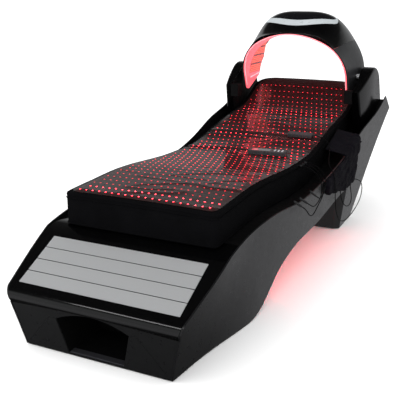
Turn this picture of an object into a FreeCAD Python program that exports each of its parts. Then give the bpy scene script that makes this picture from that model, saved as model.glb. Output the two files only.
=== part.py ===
import FreeCAD, Part
import math
import os

# Red light therapy bed: a long curved body on a foot base and a rear pedestal, a cushion with a light
# mat on it, and an arched light hood that tilts between two towers at the head end.
# Millimetres. While a piece is modelled, Y runs from the foot end (0) to the head end (LENGTH), X is
# across the bed and Z is up from the floor. Each piece is moved to the middle of the bed when written.

V = FreeCAD.Vector

# Overall sizes
MAT_WIDTH = 600.0
FOOT_LENGTH = 480.0
BRIDGE_LENGTH = 1120.0
HEAD_LENGTH = 750.0
BRIDGE_START = FOOT_LENGTH
HEAD = FOOT_LENGTH + BRIDGE_LENGTH
LENGTH = HEAD + HEAD_LENGTH
HALF = MAT_WIDTH / 2

# Walls and clearances
WALL = 6.0
SEAM = 0.8
SEAT_GAP = 0.3
FLOOR_GAP = 4.0
FAR = 900.0

# Lying surface
CUSHION_THICKNESS = 105.0
CUSHION_START = 300.0
CUSHION_END = 120.0
CROWN = 4.0
DRAW_IN = 4.0
FOOT_CORNER = 22.0
HEAD_CORNER = 105.0
MAT_THICKNESS = 12.0
MAT_SET_BACK = 4.0
LED_SHEET_THICKNESS = 1.0
LED_BORDER = 22.0
COVER_THICKNESS = 0.8
COVER_BORDER = 10.0
TRAY_THICKNESS = 8.0

# Foot deck
LIP_HEIGHT = 158.0
DECK_SLOPE = 25.2
NOSE_RADIUS = 36.0
NOSE_DROP = 20.0
LIP_ARCH = 12.0
LIP_HALF = HALF + 10.0
DECK_WALL = 5.0
DECK_BEND = 50.0
DECK_BEND_DIP = 5.5
DECK_FLAT_HEIGHT = 338.0
DECK_END = 368.0
STRIP_COUNT = 4
STRIP_WIDTH = 52.0
STRIP_GAP = 3.5
STRIP_LENGTH = 594.0
STRIP_THICKNESS = 2.5
STRIP_PROUD = 1.2
STRIP_START = 20.0

# Foot base front
APRON_SET_BACK = 5.0
APRON_LEAN = 24.0
APRON_WALL = 5.0
SKIRT_TOP_HALF = 163.0
SKIRT_LOW_HALF = HALF - 46.0
SIDE_SEAM_END = 277.0
SKIRT_TOP = 134.0
SKIRT_LOW = 24.0
TOE_TOP_HALF = 136.0
TOE_LOW_HALF = 104.0
TOE_TOP = 132.0
TOE_ARCH = 34.0
TOE_LOW = 10.0
TOE_DEPTH = 215.0
THRESHOLD_DEPTH = 26.0
THRESHOLD_HEIGHT = 3.0

# Rear pedestal
PEDESTAL_TOP = 205.0
PEDESTAL_FOOT = 230.0
PEDESTAL_REACH = 430.0
PEDESTAL_CORNER = 90.0

# Inner frame
RAIL_X = 230.0
RAIL_WIDTH = 46.0
RAIL_LOW = 222.0
RAIL_TOP = 268.0
RAIL_START = 205.0
POST_LOW = 14.0
TUBE_WALL = 3.0
FOOT_RADIUS = 22.0
GLOW_WIDTH = 14.0
GLOW_HEIGHT = 8.0

# Towers and hood, Y from the head of the bridge
HOOD_HALF = HALF + 18.0
HOOD_INNER_HALF = HALF - 25.0
HOOD_SPRING = 700.0
HOOD_INNER_TOP = 912.0
HOOD_TOP = 1022.0
HOOD_FRONT = HEAD + 330.0
HOOD_RAKE = 0.42
SCOOP_SKIN = 18.0
HOOD_LEG_END = 560.0
HOOD_WALL = 5.0
LINER_THICKNESS = 6.0
HOOD_SEAM_ANGLE = 34.0
PIVOT_Y = HEAD + 450.0
PIVOT_Z = 700.0
SHAFT_RADIUS = 12.0
RUNNING_CLEARANCE = 0.05
BUSH_WALL = 6.0
BOSS_RADIUS = 22.0
TOWER_GAP = 12.0
TOWER_THICKNESS = 60.0
TOWER_FRONT_THICKNESS = 30.0
TOWER_FRONT = HEAD + 260.0
TOWER_FULL = HEAD + 505.0
TOWER_BASE = 400.0
TOWER_WALL = 4.0
TOWER_ROUND = 14.0
BUTTON_RADIUS = 41.0
BUTTON_Y = HEAD + 560.0
BUTTON_Z = 636.0
BUTTON_MARGIN = 17.0
BUTTON_CLEARANCE = 0.5
BLOCK_FRONT = HEAD + 264.0
BLOCK_DEPTH = 52.0
BLOCK_LOW = 580.0
BLOCK_TOP = 646.0
BLOCK_REACH = HALF - 11.0

# Handset and junction box on the mat
HANDSET_LENGTH = 172.0
HANDSET_WIDTH = 58.0
HANDSET_HEIGHT = 18.0
HANDSET_CORNER = 12.0
HANDSET_WALL = 3.0
HANDSET_X = 118.0
HANDSET_Y = HEAD - 362.0
HANDSET_TURN = 5.0
HANDSET_SEAT = (HANDSET_X, HANDSET_Y, HANDSET_TURN, HANDSET_WIDTH + 14.0)
KEY_RADIUS = 4.0
KEY_CLEARANCE = 0.3
KEY_TRAVEL = 0.8
JUNCTION_LENGTH = 118.0
JUNCTION_DEPTH = 35.0
JUNCTION_HEIGHT = 16.0
JUNCTION_X = 178.0
JUNCTION_Y = HEAD - 82.0
JUNCTION_SEAT = (JUNCTION_X, JUNCTION_Y, 0.0, JUNCTION_DEPTH)

# Leads and the bag that keeps their adaptors, hung over the right side
CORD_DIAMETER = 4.0
GLAND_LENGTH = 18.0
GROMMET_LENGTH = 10.0
CONNECTOR_RADIUS = 4.5
CONNECTOR_LENGTH = 40.0
CONNECTOR_OUTSIDE = 24.0
BAG_START = HEAD - 400.0
BAG_END = HEAD + 126.0
BAG_X = HALF + 118.0
FLAP_START = HEAD - 95.0
FLAP_DROP = 78.0
FLAP_THICKNESS = 8.0

TOWER_INNER = HOOD_HALF + TOWER_GAP
TOWER_OUTER = TOWER_INNER + TOWER_THICKNESS


def along(share):
    """Y at a share of the bridge's length."""
    return BRIDGE_START + share * BRIDGE_LENGTH


# Height of the tray that the cushion lies on, from the foot to the head
BED_PROFILE = [
    (CUSHION_START, 336.0),
    (BRIDGE_START, 342.0),
    (along(0.135), 345.0),
    (along(0.31), 334.0),
    (along(0.49), 317.0),
    (along(0.625), 312.0),
    (along(0.76), 315.0),
    (along(0.89), 337.0),
    (HEAD + 110.0, 381.0),
    (HEAD + 300.0, 404.0),
    (HEAD + 390.0, 427.0),
    (HEAD + 515.0, 487.0),
    (LENGTH - CUSHION_END, 530.0),
]

# Shelf behind the cushion, where the tray meets the head end's panel
HEAD_SHELF = (LENGTH - 62.0, 552.0)

# Top edge of the side fairings, from the deck's seam to the head end
FAIRING_EDGE = [
    (430.0, 358.0),
    (along(0.09), 366.0),
    (along(0.17), 365.0),
    (along(0.33), 349.0),
    (along(0.5625), 350.0),
    (HEAD + 10.0, 424.0),
    (HEAD + 180.0, 470.0),
    (HEAD + 410.0, 511.0),
    (HEAD + 600.0, 584.0),
]

# Half width of the body beyond the mat's half width, at the floor and at SIDE_TOP
SIDE_TOP = 600.0
SIDE_STATIONS = [
    (-60.0, -40.0, 146.0),
    (30.0, -25.0, 126.0),
    (160.0, -12.0, 118.0),
    (370.0, 23.0, 86.0),
    (BRIDGE_START, 42.0, 78.0),
    (along(0.22), 58.0, 93.0),
    (along(0.56), 70.0, 110.0),
    (HEAD + 10.0, 67.0, 124.0),
    (HEAD + 430.0, 70.0, 133.0),
    (LENGTH + 60.0, 76.0, 146.0),
]

# Lower edge of the bridge, from the foot base to the rear pedestal
BRIDGE_EDGE = [
    (BRIDGE_START, FLOOR_GAP),
    (along(0.094), 32.0),
    (along(0.204), 112.0),
    (along(0.277), 145.0),
    (along(0.366), 167.0),
    (along(0.491), 176.0),
    (along(0.62), 179.0),
    (along(0.768), 193.0),
    (HEAD, PEDESTAL_TOP),
]

# Rear underside, from the pedestal's top to the head end
REAR_CORNER = (LENGTH, 500.0)
REAR_EDGE = [(HEAD + PEDESTAL_REACH, PEDESTAL_TOP), (HEAD + 535.0, 308.0), REAR_CORNER]


def in_side(x):
    """Places a point of a side view at x."""
    return lambda y, z: V(x, y, z)


def in_front(y):
    """Places a point of a front view at y."""
    return lambda x, z: V(x, y, z)


def in_plan(z):
    """Places a point of a plan at z."""
    return lambda x, y: V(x, y, z)


def wire(place, start, *spans):
    """Closed outline: a span of one point is a line, of two an arc through the first, of more a curve."""
    edges = []
    last = start
    for span in list(spans) + [[start]]:
        points = [place(*p) for p in [last] + list(span)]
        if len(points) > 3:
            curve = Part.BSplineCurve()
            curve.interpolate(points)
            edges.append(curve.toShape())
        elif len(points) == 3:
            edges.append(Part.Arc(*points).toShape())
        elif (points[1] - points[0]).Length > 0.001:
            edges.append(Part.makeLine(*points))
        last = span[-1]
    return Part.Wire(edges)


def side_prism(x0, x1, start, *spans):
    return Part.Face(wire(in_side(x0), start, *spans)).extrude(V(x1 - x0, 0, 0))


def front_prism(y0, y1, start, *spans):
    return Part.Face(wire(in_front(y0), start, *spans)).extrude(V(0, y1 - y0, 0))


def plan_prism(z0, z1, start, *spans):
    return Part.Face(wire(in_plan(z0), start, *spans)).extrude(V(0, 0, z1 - z0))


def box(x0, x1, y0, y1, z0, z1):
    return Part.makeBox(x1 - x0, y1 - y0, z1 - z0, V(x0, y0, z0))


def across(radius, x0, x1, y, z):
    """Cylinder along X."""
    return Part.makeCylinder(radius, x1 - x0, V(x0, y, z), V(1, 0, 0))


def mirrored(shape):
    return shape.mirror(V(0, 0, 0), V(1, 0, 0))


def fuse(shapes):
    return shapes[0].multiFuse(shapes[1:]).removeSplitter()


def shifted(points, rise):
    return [(y, z + rise) for y, z in points]


def body_plan(z, halves):
    """The body's outline at one height, from the half width at each station."""
    right = [(half, y) for half, (y, _, _) in zip(halves, SIDE_STATIONS)]
    left = [(-half, y) for half, y in reversed(right)]
    return wire(in_plan(z), right[0], right[1:], [left[0]], left[1:])


def body_envelope(inset):
    """The body's leaning, flaring outer form, drawn in by inset at each side."""
    low = [HALF + low - inset for _, low, _ in SIDE_STATIONS]
    top = [HALF + top - inset for _, _, top in SIDE_STATIONS]
    return Part.makeLoft([body_plan(0.0, low), body_plan(SIDE_TOP, top)], True, True)


OUTER = body_envelope(0.0)
INNER = body_envelope(WALL)
INSIDE = body_envelope(WALL + SEAM)


def below_bed(rise):
    """Everything under the bed's profile raised by rise."""
    points = shifted(BED_PROFILE, rise)
    shelf = shifted([HEAD_SHELF, (LENGTH, HEAD_SHELF[1])], rise)
    low = [(LENGTH, -100.0), (points[0][0], -100.0)]
    return side_prism(-FAR, FAR, points[0], points[1:], *[[p] for p in shelf + low])


def below_bridge(rise):
    """Everything under the bridge's lower edge raised by rise."""
    points = shifted(BRIDGE_EDGE, rise)
    low = [(HEAD, -100.0), (BRIDGE_START, -100.0)]
    return side_prism(-FAR, FAR, points[0], points[1:], *[[p] for p in low])


def height_on(profile, y):
    """Height of a smooth side-view profile at y."""
    curve = Part.BSplineCurve()
    curve.interpolate([V(0, *p) for p in profile])
    low = curve.FirstParameter
    high = curve.LastParameter
    for _ in range(40):
        middle = (low + high) / 2
        if curve.value(middle).y < y:
            low = middle
        else:
            high = middle
    return curve.value(low).z


def bed_height(y):
    return height_on(BED_PROFILE, y)


# Deck nose: an arc that is tangent to the sloping deck and reaches the foot end
SLOPE_TAN = math.tan(math.radians(DECK_SLOPE))
SLOPE_COS = math.cos(math.radians(DECK_SLOPE))
NOSE_CENTRE = (NOSE_RADIUS, LIP_HEIGHT + NOSE_DROP)


def nose_point(radius, angle):
    """Point on the nose arc; the angle turns from the foot direction upwards."""
    turn = math.radians(angle)
    return (NOSE_CENTRE[0] - radius * math.cos(turn), NOSE_CENTRE[1] + radius * math.sin(turn))


LIP_ANGLE = -math.degrees(math.asin(NOSE_DROP / NOSE_RADIUS))
SLOPE_START = nose_point(NOSE_RADIUS, 90.0 - DECK_SLOPE)


def deck_line(y, drop):
    """Height of the sloping deck at y, lowered square to the slope by drop."""
    return SLOPE_START[1] + (y - SLOPE_START[0]) * SLOPE_TAN - drop / SLOPE_COS


def deck_solid(drop):
    """Everything under the deck's outer form, drawn in by drop."""
    radius = NOSE_RADIUS - drop
    lip = nose_point(radius, LIP_ANGLE)
    flat = DECK_FLAT_HEIGHT - drop
    bend = SLOPE_START[0] + (flat - SLOPE_START[1] + drop / SLOPE_COS) / SLOPE_TAN
    before = (bend - DECK_BEND * SLOPE_COS, deck_line(bend - DECK_BEND * SLOPE_COS, drop))
    after = (bend + DECK_BEND, flat)
    middle = (bend + 1.0, flat - DECK_BEND_DIP)
    return side_prism(
        -FAR, FAR, lip,
        [nose_point(radius, 0.0), nose_point(radius, 90.0 - DECK_SLOPE)],
        [before], [middle, after], [(DECK_END, flat)], [(DECK_END, LIP_HEIGHT - 60.0)],
        [(lip[0], LIP_HEIGHT - 60.0)],
    )


def on_deck(shape):
    """Turns a flat piece, drawn from Y 0 forwards, onto the sloping deck."""
    shape.rotate(V(0, 0, 0), V(1, 0, 0), DECK_SLOPE)
    start = SLOPE_START[0] + STRIP_START * SLOPE_COS
    shape.translate(V(0, start, deck_line(start, 0.0)))
    return shape


def foot_strip_blocks(grow, low, high):
    blocks = []
    for i in range(STRIP_COUNT):
        y = i * (STRIP_WIDTH + STRIP_GAP)
        half = STRIP_LENGTH / 2 + grow
        blocks.append(on_deck(box(-half, half, y - grow, y + STRIP_WIDTH + grow, low, high)))
    return blocks


def below_lip(y0, y1, drop):
    """Everything under the deck lip's arched lower edge, lowered by drop."""
    edge = LIP_HEIGHT - drop
    return front_prism(
        y0, y1, (-FAR, -50.0), [(-FAR, edge)], [(-LIP_HALF, edge)], [(0.0, edge + LIP_ARCH), (LIP_HALF, edge)],
        [(FAR, edge)], [(FAR, -50.0)],
    )


def foot_deck():
    """Gloss deck shell with a rolled lip, arched under its front edge, and pockets for the strips."""
    shell = deck_solid(0.0).cut(deck_solid(DECK_WALL)).common(INSIDE)
    rear = box(-FAR, FAR, NOSE_CENTRE[0] - 1.0, DECK_END + 1.0, 0.0, NOSE_CENTRE[1])
    shell = shell.cut(below_lip(-50.0, NOSE_CENTRE[0], 0.0)).cut(rear)
    pockets = foot_strip_blocks(SEAT_GAP, STRIP_PROUD - STRIP_THICKNESS, 10.0)
    return shell.cut(Part.makeCompound(pockets))


def foot_strips():
    return Part.makeCompound(foot_strip_blocks(0.0, STRIP_PROUD - STRIP_THICKNESS, STRIP_PROUD))


def apron_slab(back, wall):
    """Leaning slab across the foot base's front, set back from the lip."""
    top_y = APRON_SET_BACK + back
    low_y = top_y + APRON_LEAN
    top = NOSE_CENTRE[1]
    return side_prism(
        -FAR, FAR, (low_y, FLOOR_GAP), [(top_y, top)], [(top_y + wall, top)], [(low_y + wall, FLOOR_GAP)],
    )


def apron_band():
    """The foot base's front wall, up to the deck lip's arch."""
    return apron_slab(0.0, APRON_WALL).common(below_lip(-50.0, 120.0, SEAM)).common(INSIDE)


def skirt_outline(grow):
    low_half = SKIRT_LOW_HALF + grow
    top_half = SKIRT_TOP_HALF + grow
    return front_prism(
        -50.0, 120.0, (-low_half, -20.0), [(-low_half, SKIRT_LOW + grow)], [(-top_half, SKIRT_TOP + grow)],
        [(top_half, SKIRT_TOP + grow)], [(low_half, SKIRT_LOW + grow)], [(low_half, -20.0)],
    )


def toe_outline(y0, y1, grow):
    low = TOE_LOW_HALF + grow
    top = TOE_TOP_HALF + grow
    return front_prism(
        y0, y1, (-low, TOE_LOW - grow), [(-top, TOE_TOP)],
        [(0.0, TOE_TOP + TOE_ARCH + grow), (top, TOE_TOP)], [(low, TOE_LOW - grow)],
    )


def front_apron():
    return apron_band().cut(skirt_outline(SEAM)).cut(toe_outline(-50.0, 120.0, 0.0))


def front_skirt():
    return apron_band().common(skirt_outline(0.0)).cut(toe_outline(-50.0, 120.0, 0.0))


def toe_recess_liner():
    """Tunnel behind the toe opening, closed at its back."""
    outer = toe_outline(0.0, TOE_DEPTH + WALL, WALL)
    hollow = toe_outline(-1.0, TOE_DEPTH, 0.0)
    front = apron_slab(-100.0, 100.0 + APRON_WALL + SEAT_GAP)
    return outer.cut(hollow).cut(front)


def threshold_strip():
    """Bright strip on the sill of the toe opening."""
    start = APRON_SET_BACK + APRON_LEAN + 3.0
    half = TOE_LOW_HALF - 2.0
    return box(-half, half, start, start + THRESHOLD_DEPTH, TOE_LOW, TOE_LOW + THRESHOLD_HEIGHT)


def side_outline(x0, x1):
    """The fairing's outline seen from the side."""
    nose = NOSE_RADIUS - 3.0
    seam_end = (SIDE_SEAM_END, deck_line(SIDE_SEAM_END, 0.0) + 1.0)
    return side_prism(
        x0, x1, (APRON_SET_BACK + APRON_LEAN, FLOOR_GAP),
        [(APRON_SET_BACK + 1.0, LIP_HEIGHT)], [nose_point(nose, LIP_ANGLE)],
        [nose_point(nose, 0.0), nose_point(NOSE_RADIUS + 1.0, 90.0 - DECK_SLOPE)],
        [seam_end], FAIRING_EDGE, [REAR_CORNER], [REAR_EDGE[1], REAR_EDGE[0]], [BRIDGE_EDGE[-1]],
        BRIDGE_EDGE[-2::-1],
    )


def side_fairing():
    """Right side shell, with a turned-in flange along the bridge's lower edge."""
    outline = side_outline(0.0, FAR)
    skin = outline.common(OUTER).cut(INNER)
    flange = below_bridge(WALL).cut(below_bridge(0.0)).common(INNER).cut(body_envelope(WALL + 24.0))
    flange = flange.common(box(0.0, FAR, 0.0, LENGTH, 0.0, FAR))
    return fuse([skin, flange])


def belly_pan():
    """Curved closing panel over the bridge's underside, laid on the side flanges."""
    low = WALL + SEAT_GAP
    band = below_bridge(low + 4.0).cut(below_bridge(low))
    return band.common(INSIDE).common(box(-FAR, FAR, BRIDGE_START, HEAD - 1.0, 8.0, FAR))


def glow_strips():
    """Red light strips under the belly pan, just inside the side flanges."""
    band = below_bridge(WALL).cut(below_bridge(WALL - GLOW_HEIGHT))
    x1 = HALF + 30.0
    strip = band.common(box(x1 - GLOW_WIDTH, x1, along(0.2), along(0.97), 0.0, FAR))
    return Part.makeCompound([strip, mirrored(strip)])


def bed_tray():
    """Shaped tray between the fairings, from the deck to the head end."""
    band = below_bed(0.0).cut(below_bed(-TRAY_THICKNESS)).common(INSIDE)
    return band.common(box(-FAR, FAR, DECK_END + SEAM, HEAD_SHELF[0], 0.0, FAR))


def pedestal_form(inset, low, top):
    """Rear pedestal's outer form: upright front, raked back, rounded front corners."""
    y0 = HEAD + inset
    side = side_prism(
        -FAR, FAR, (y0, low), [(y0 - 4.0, top)], [(HEAD + PEDESTAL_REACH - 1.2 * inset, top)],
        [(HEAD + PEDESTAL_FOOT - 1.2 * inset, low)],
    )
    corner = PEDESTAL_CORNER - inset
    edge = HALF + 96.0 - inset
    cut = corner * (1 - math.sqrt(0.5))
    front = y0 - 6.0
    rounded = plan_prism(
        -10.0, FAR, (-edge, LENGTH), [(-edge, front + corner)],
        [(-edge + cut, front + cut), (-edge + corner, front)], [(edge - corner, front)],
        [(edge - cut, front + cut), (edge, front + corner)], [(edge, LENGTH)],
    )
    return side.common(rounded).common(body_envelope(inset))


def rear_pedestal():
    top = PEDESTAL_TOP - SEAM
    shell = pedestal_form(0.0, FLOOR_GAP, top)
    shell = shell.cut(pedestal_form(WALL, FLOOR_GAP - 1.0, top + 1.0))
    return shell.cut(inlet_block(SEAT_GAP))


INLET_Z = 120.0
INLET_HALF_WIDTH = 24.0
INLET_HALF_HEIGHT = 16.0


def raked_back(shape):
    """Turns a piece drawn upright at Y 0 onto the pedestal's raked back."""
    run = PEDESTAL_REACH - PEDESTAL_FOOT
    rise = PEDESTAL_TOP - SEAM - FLOOR_GAP
    shape.rotate(V(0, 0, 0), V(1, 0, 0), -math.degrees(math.atan2(run, rise)))
    y = HEAD + PEDESTAL_FOOT + run * (INLET_Z - FLOOR_GAP) / rise
    shape.translate(V(0, y, INLET_Z))
    return shape


def inlet_block(grow):
    half_x = INLET_HALF_WIDTH + grow
    half_z = INLET_HALF_HEIGHT + grow
    return raked_back(box(-half_x, half_x, -30.0, 2.0, -half_z, half_z))


def power_inlet():
    """Mains inlet with a flange outside the pedestal's back and three contact blades in its well."""
    flange = raked_back(box(-32.0, 32.0, SEAT_GAP, 2.5, -24.0, 24.0))
    well = raked_back(box(-19.0, 19.0, -22.0, 10.0, -11.0, 11.0))
    body = fuse([inlet_block(0.0), flange]).cut(well)
    blades = [raked_back(box(x - 1.0, x + 1.0, -23.0, -6.0, -2.0 + z, 2.0 + z)) for x, z in
              ((-7.0, -2.0), (0.0, 3.0), (7.0, -2.0))]
    return fuse([body] + blades)


def head_end_panel():
    """Closing panel under the head end, from the pedestal up to the tray's end."""
    run = REAR_EDGE[1:]
    start = REAR_EDGE[0]
    rise = 7.0
    outer = side_prism(
        -FAR, FAR, start, run, [HEAD_SHELF], [(HEAD_SHELF[0], HEAD_SHELF[1] - rise)],
        [(LENGTH - 12.0, REAR_CORNER[1] + 1.0)],
        [(run[0][0] - rise, run[0][1] + rise), (start[0] - rise, start[1] + rise)],
    )
    return outer.common(INSIDE)


POST_PLACES = [RAIL_START, BRIDGE_START - 60.0, HEAD + 40.0, HEAD + 150.0]


def frame_members(inset):
    """Rails, posts, cross members and props of the frame, each drawn in by inset."""
    rear_end = HEAD + 420.0
    half = RAIL_WIDTH / 2 - inset
    low = RAIL_LOW + inset
    top = RAIL_TOP - inset
    members = []
    for side in (-RAIL_X, RAIL_X):
        x0 = side - half
        x1 = side + half
        members.append(box(x0, x1, RAIL_START + inset, rear_end - inset, low, top))
        for y in POST_PLACES:
            members.append(box(x0, x1, y + inset, y + RAIL_WIDTH - inset, POST_LOW + inset, top))
        for y in (POST_PLACES[1], along(0.5), POST_PLACES[2], rear_end - RAIL_WIDTH):
            members.append(box(x0, x1, y + inset, y + RAIL_WIDTH - inset, low, SIDE_TOP))
    for y in POST_PLACES[:3] + [along(0.5), rear_end - RAIL_WIDTH]:
        members.append(box(-RAIL_X, RAIL_X, y + inset, y + RAIL_WIDTH - inset, low, top))
    return fuse(members)


def chassis_frame():
    """Welded frame of square tube: two rails on posts, tied by cross members, with props up to the tray."""
    under_tray = below_bed(-TRAY_THICKNESS - SEAT_GAP)
    above_tray = box(-FAR, FAR, CUSHION_START, LENGTH, 0.0, FAR).cut(under_tray)
    return frame_members(0.0).cut(frame_members(TUBE_WALL)).cut(above_tray)


def levelling_feet():
    """Screw feet under the frame's posts."""
    feet = []
    pad = 6.0
    for y in POST_PLACES:
        for x in (-RAIL_X, RAIL_X):
            middle = V(x, y + RAIL_WIDTH / 2, 0.0)
            disc = Part.makeCone(FOOT_RADIUS, FOOT_RADIUS - 4.0, pad, middle)
            stem = Part.makeCylinder(6.0, POST_LOW - pad, middle + V(0, 0, pad))
            feet.append(disc.fuse(stem).removeSplitter())
    return Part.makeCompound(feet)


def power_supply():
    """Boxed supply inside the pedestal, hung under the frame's cross member."""
    case = box(-110.0, 110.0, HEAD + 44.0, HEAD + 150.0, 140.0, RAIL_LOW)
    fins = [box(x, x + 6.0, HEAD + 43.0, HEAD + 151.0, 139.0, 150.0) for x in range(-100, 101, 20)]
    return case.cut(Part.makeCompound(fins))


def crown_lift(x):
    """How far the crowned layers rise at x above the mat's edges."""
    return CROWN * (1 - (x / HALF) ** 2)


def bed_section(y, low, high, half, flat_under, draw_in):
    """Cross section of a layer: crowned top, crowned or flat underside, sides drawn in at mid height."""
    lift = crown_lift(half)
    z0 = low if flat_under else low + lift
    z1 = high + lift
    middle = (z0 + z1) / 2
    under = [(half, z0)] if flat_under else [(0.0, low + CROWN), (half, z0)]
    right = [(half - draw_in, middle), (half, z1)] if draw_in else [(half, z1)]
    left = [(-half + draw_in, middle), (-half, z0)] if draw_in else [(-half, z0)]
    return wire(in_front(y), (-half, z0), under, right, [(0.0, high + CROWN), (-half, z1)], left)


def bed_layer(low, high, half, set_back, flat_under=False, draw_in=0.0):
    """A layer that follows the bed's profile, with rounded foot and head corners."""
    sections = [
        bed_section(y, z + low, z + high, half, flat_under, draw_in) for y, z in BED_PROFILE
    ]
    layer = Part.makeLoft(sections, True, False)
    if flat_under:
        layer = layer.cut(below_bed(low))
    y0 = BED_PROFILE[0][0] + set_back
    y1 = BED_PROFILE[-1][0] - set_back
    edge = half + 5.0
    foot = half - FOOT_CORNER
    head = half - HEAD_CORNER
    foot_cut = 0.3 * FOOT_CORNER
    head_cut = 0.3 * HEAD_CORNER
    trim = plan_prism(
        0.0, FAR, (-edge, y0 + FOOT_CORNER), [(-half + foot_cut, y0 + foot_cut), (-foot, y0)],
        [(foot, y0)], [(half - foot_cut, y0 + foot_cut), (edge, y0 + FOOT_CORNER)],
        [(edge, y1 - HEAD_CORNER)], [(half - head_cut, y1 - head_cut), (head, y1)],
        [(-head, y1)], [(-half + head_cut, y1 - head_cut), (-edge, y1 - HEAD_CORNER)],
    )
    return layer.common(trim)


CUSHION_TOP = CUSHION_THICKNESS + SEAT_GAP
MAT_LOW = CUSHION_TOP + SEAT_GAP
MAT_HIGH = MAT_LOW + MAT_THICKNESS
LEDS_LOW = MAT_HIGH + SEAT_GAP
LEDS_HIGH = LEDS_LOW + LED_SHEET_THICKNESS
COVER_LOW = LEDS_HIGH + SEAT_GAP
COVER_HIGH = COVER_LOW + COVER_THICKNESS


def cushion():
    """Foam cushion: crowned, its long sides drawn in between the seams."""
    return bed_layer(SEAT_GAP, CUSHION_TOP, HALF - 1.0, 0.0, True, DRAW_IN)


def light_mat():
    """Padded mat that carries the lights."""
    return bed_layer(MAT_LOW, MAT_HIGH, HALF, MAT_SET_BACK)


def mat_led_sheet():
    return bed_layer(LEDS_LOW, LEDS_HIGH, HALF - LED_BORDER, MAT_SET_BACK + LED_BORDER)


def mat_cover():
    return bed_layer(COVER_LOW, COVER_HIGH, HALF - COVER_BORDER, MAT_SET_BACK + COVER_BORDER)


def flat_face(outline, inset):
    """Face within a flat outline moved inwards all round."""
    if inset:
        outline = outline.makeOffset2D(-inset)
    return Part.makeFace([outline], "Part::FaceMakerBullseye")


def tower_wire(x):
    """Tower's outline from the side: raked front, rounded top, sloping back."""
    return wire(
        in_side(x), (HEAD + 342.0, TOWER_BASE), [(HEAD + 266.0, 642.0)],
        [(HEAD + 425.0, 725.0)], [(HEAD + 529.5, 741.0), (HEAD + 622.0, 690.0)],
        [(HEAD + 694.0, 560.0)], [(HEAD + 716.0, TOWER_BASE)],
    )


def tower_prism(x0, x1, inset):
    return flat_face(tower_wire(x0), inset).extrude(V(x1 - x0, 0, 0))


def button_outline(x0, x1, grow):
    """D-shaped press plate: round to the front, straight along the tower's back."""
    radius = BUTTON_RADIUS + grow
    disc = across(radius, x0, x1, BUTTON_Y, BUTTON_Z)
    back = box(x0, x1, BUTTON_Y, LENGTH, BUTTON_Z - radius, BUTTON_Z + radius)
    return disc.fuse(back).removeSplitter().common(tower_prism(x0, x1, BUTTON_MARGIN - grow))


def tower_plan(x0, inset):
    """Tower's plan: thin at the front, its outer face curving out to the full thickness."""
    outer = TOWER_OUTER - inset
    lost = TOWER_THICKNESS - TOWER_FRONT_THICKNESS
    run = TOWER_FULL - TOWER_FRONT
    radius = (lost ** 2 + run ** 2) / (2 * lost)
    bulge = outer - radius + math.sqrt(radius ** 2 - (run / 2) ** 2)
    return plan_prism(
        TOWER_BASE - 50.0, FAR, (x0, TOWER_FRONT), [(outer - lost, TOWER_FRONT)],
        [(bulge, TOWER_FULL - run / 2), (outer, TOWER_FULL)], [(outer, LENGTH)], [(x0, LENGTH)],
    )


def rounded_tower(x0, inset):
    """Tower's form drawn in by inset, its outer edges rounded."""
    form = tower_prism(x0, TOWER_OUTER, inset).common(tower_plan(x0, inset))
    low = form.BoundBox.ZMin + 1.0
    edges = [
        e for e in form.Edges
        if e.BoundBox.XMin > x0 + 1.0 and e.BoundBox.ZMax > low and e.BoundBox.YLength > 1.0
    ]
    return form.makeFillet(TOWER_ROUND - inset, edges)


def tower_shell():
    """Right tower's outer shell, open towards the bed and closed there by its inner panel."""
    form = rounded_tower(TOWER_INNER, 0.0)
    shell = form.cut(rounded_tower(TOWER_INNER - 1.0, TOWER_WALL))
    opening = button_outline(TOWER_OUTER - 20.0, TOWER_OUTER + 1.0, BUTTON_CLEARANCE)
    return shell.cut(opening).cut(below_bed(SEAT_GAP))


def tower_panel():
    """Flat inner wall of the right tower, let into the shell, with the pivot's hole."""
    panel = tower_prism(TOWER_INNER, TOWER_INNER + TOWER_WALL, TOWER_WALL + SEAT_GAP)
    hole = across(SHAFT_RADIUS + 2.0, TOWER_INNER - 1.0, TOWER_OUTER, PIVOT_Y, PIVOT_Z)
    return panel.cut(hole).cut(below_bed(SEAT_GAP))


FRAME_X0 = TOWER_INNER + 14.0
FRAME_X1 = FRAME_X0 + 12.0
FRAME_SPREAD = 70.0


def tower_frame():
    """Steel upright in the right tower that carries the hood's pivot and stands on the tray."""
    head = SHAFT_RADIUS + BUSH_WALL + 8.0
    upright = side_prism(
        FRAME_X0, FRAME_X1, (PIVOT_Y - FRAME_SPREAD, TOWER_BASE), [(PIVOT_Y - head, PIVOT_Z)],
        [(PIVOT_Y, PIVOT_Z + head), (PIVOT_Y + head, PIVOT_Z)], [(PIVOT_Y + FRAME_SPREAD, TOWER_BASE)],
    )
    y0 = PIVOT_Y - FRAME_SPREAD + 10.0
    y1 = PIVOT_Y + FRAME_SPREAD - 10.0
    spread = box(TOWER_INNER + TOWER_WALL + SEAT_GAP, FRAME_X1, y0, y1, TOWER_BASE, TOWER_BASE + 120.0)
    bore = across(SHAFT_RADIUS + BUSH_WALL, FRAME_X0 - 1.0, FRAME_X1 + 1.0, PIVOT_Y, PIVOT_Z)
    return fuse([upright, spread]).cut(bore).cut(below_bed(SEAT_GAP))


def pivot_bushes():
    """Flanged bushes pressed into the tower frames."""
    outer = SHAFT_RADIUS + BUSH_WALL
    sleeve = across(outer, FRAME_X0 - 2.0, FRAME_X1, PIVOT_Y, PIVOT_Z)
    flange = across(outer + 5.0, FRAME_X0 - 3.0, FRAME_X0, PIVOT_Y, PIVOT_Z)
    bore = across(SHAFT_RADIUS + RUNNING_CLEARANCE, FRAME_X0 - 5.0, FRAME_X1 + 1.0, PIVOT_Y, PIVOT_Z)
    bush = fuse([sleeve, flange]).cut(bore)
    return Part.makeCompound([bush, mirrored(bush)])


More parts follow.
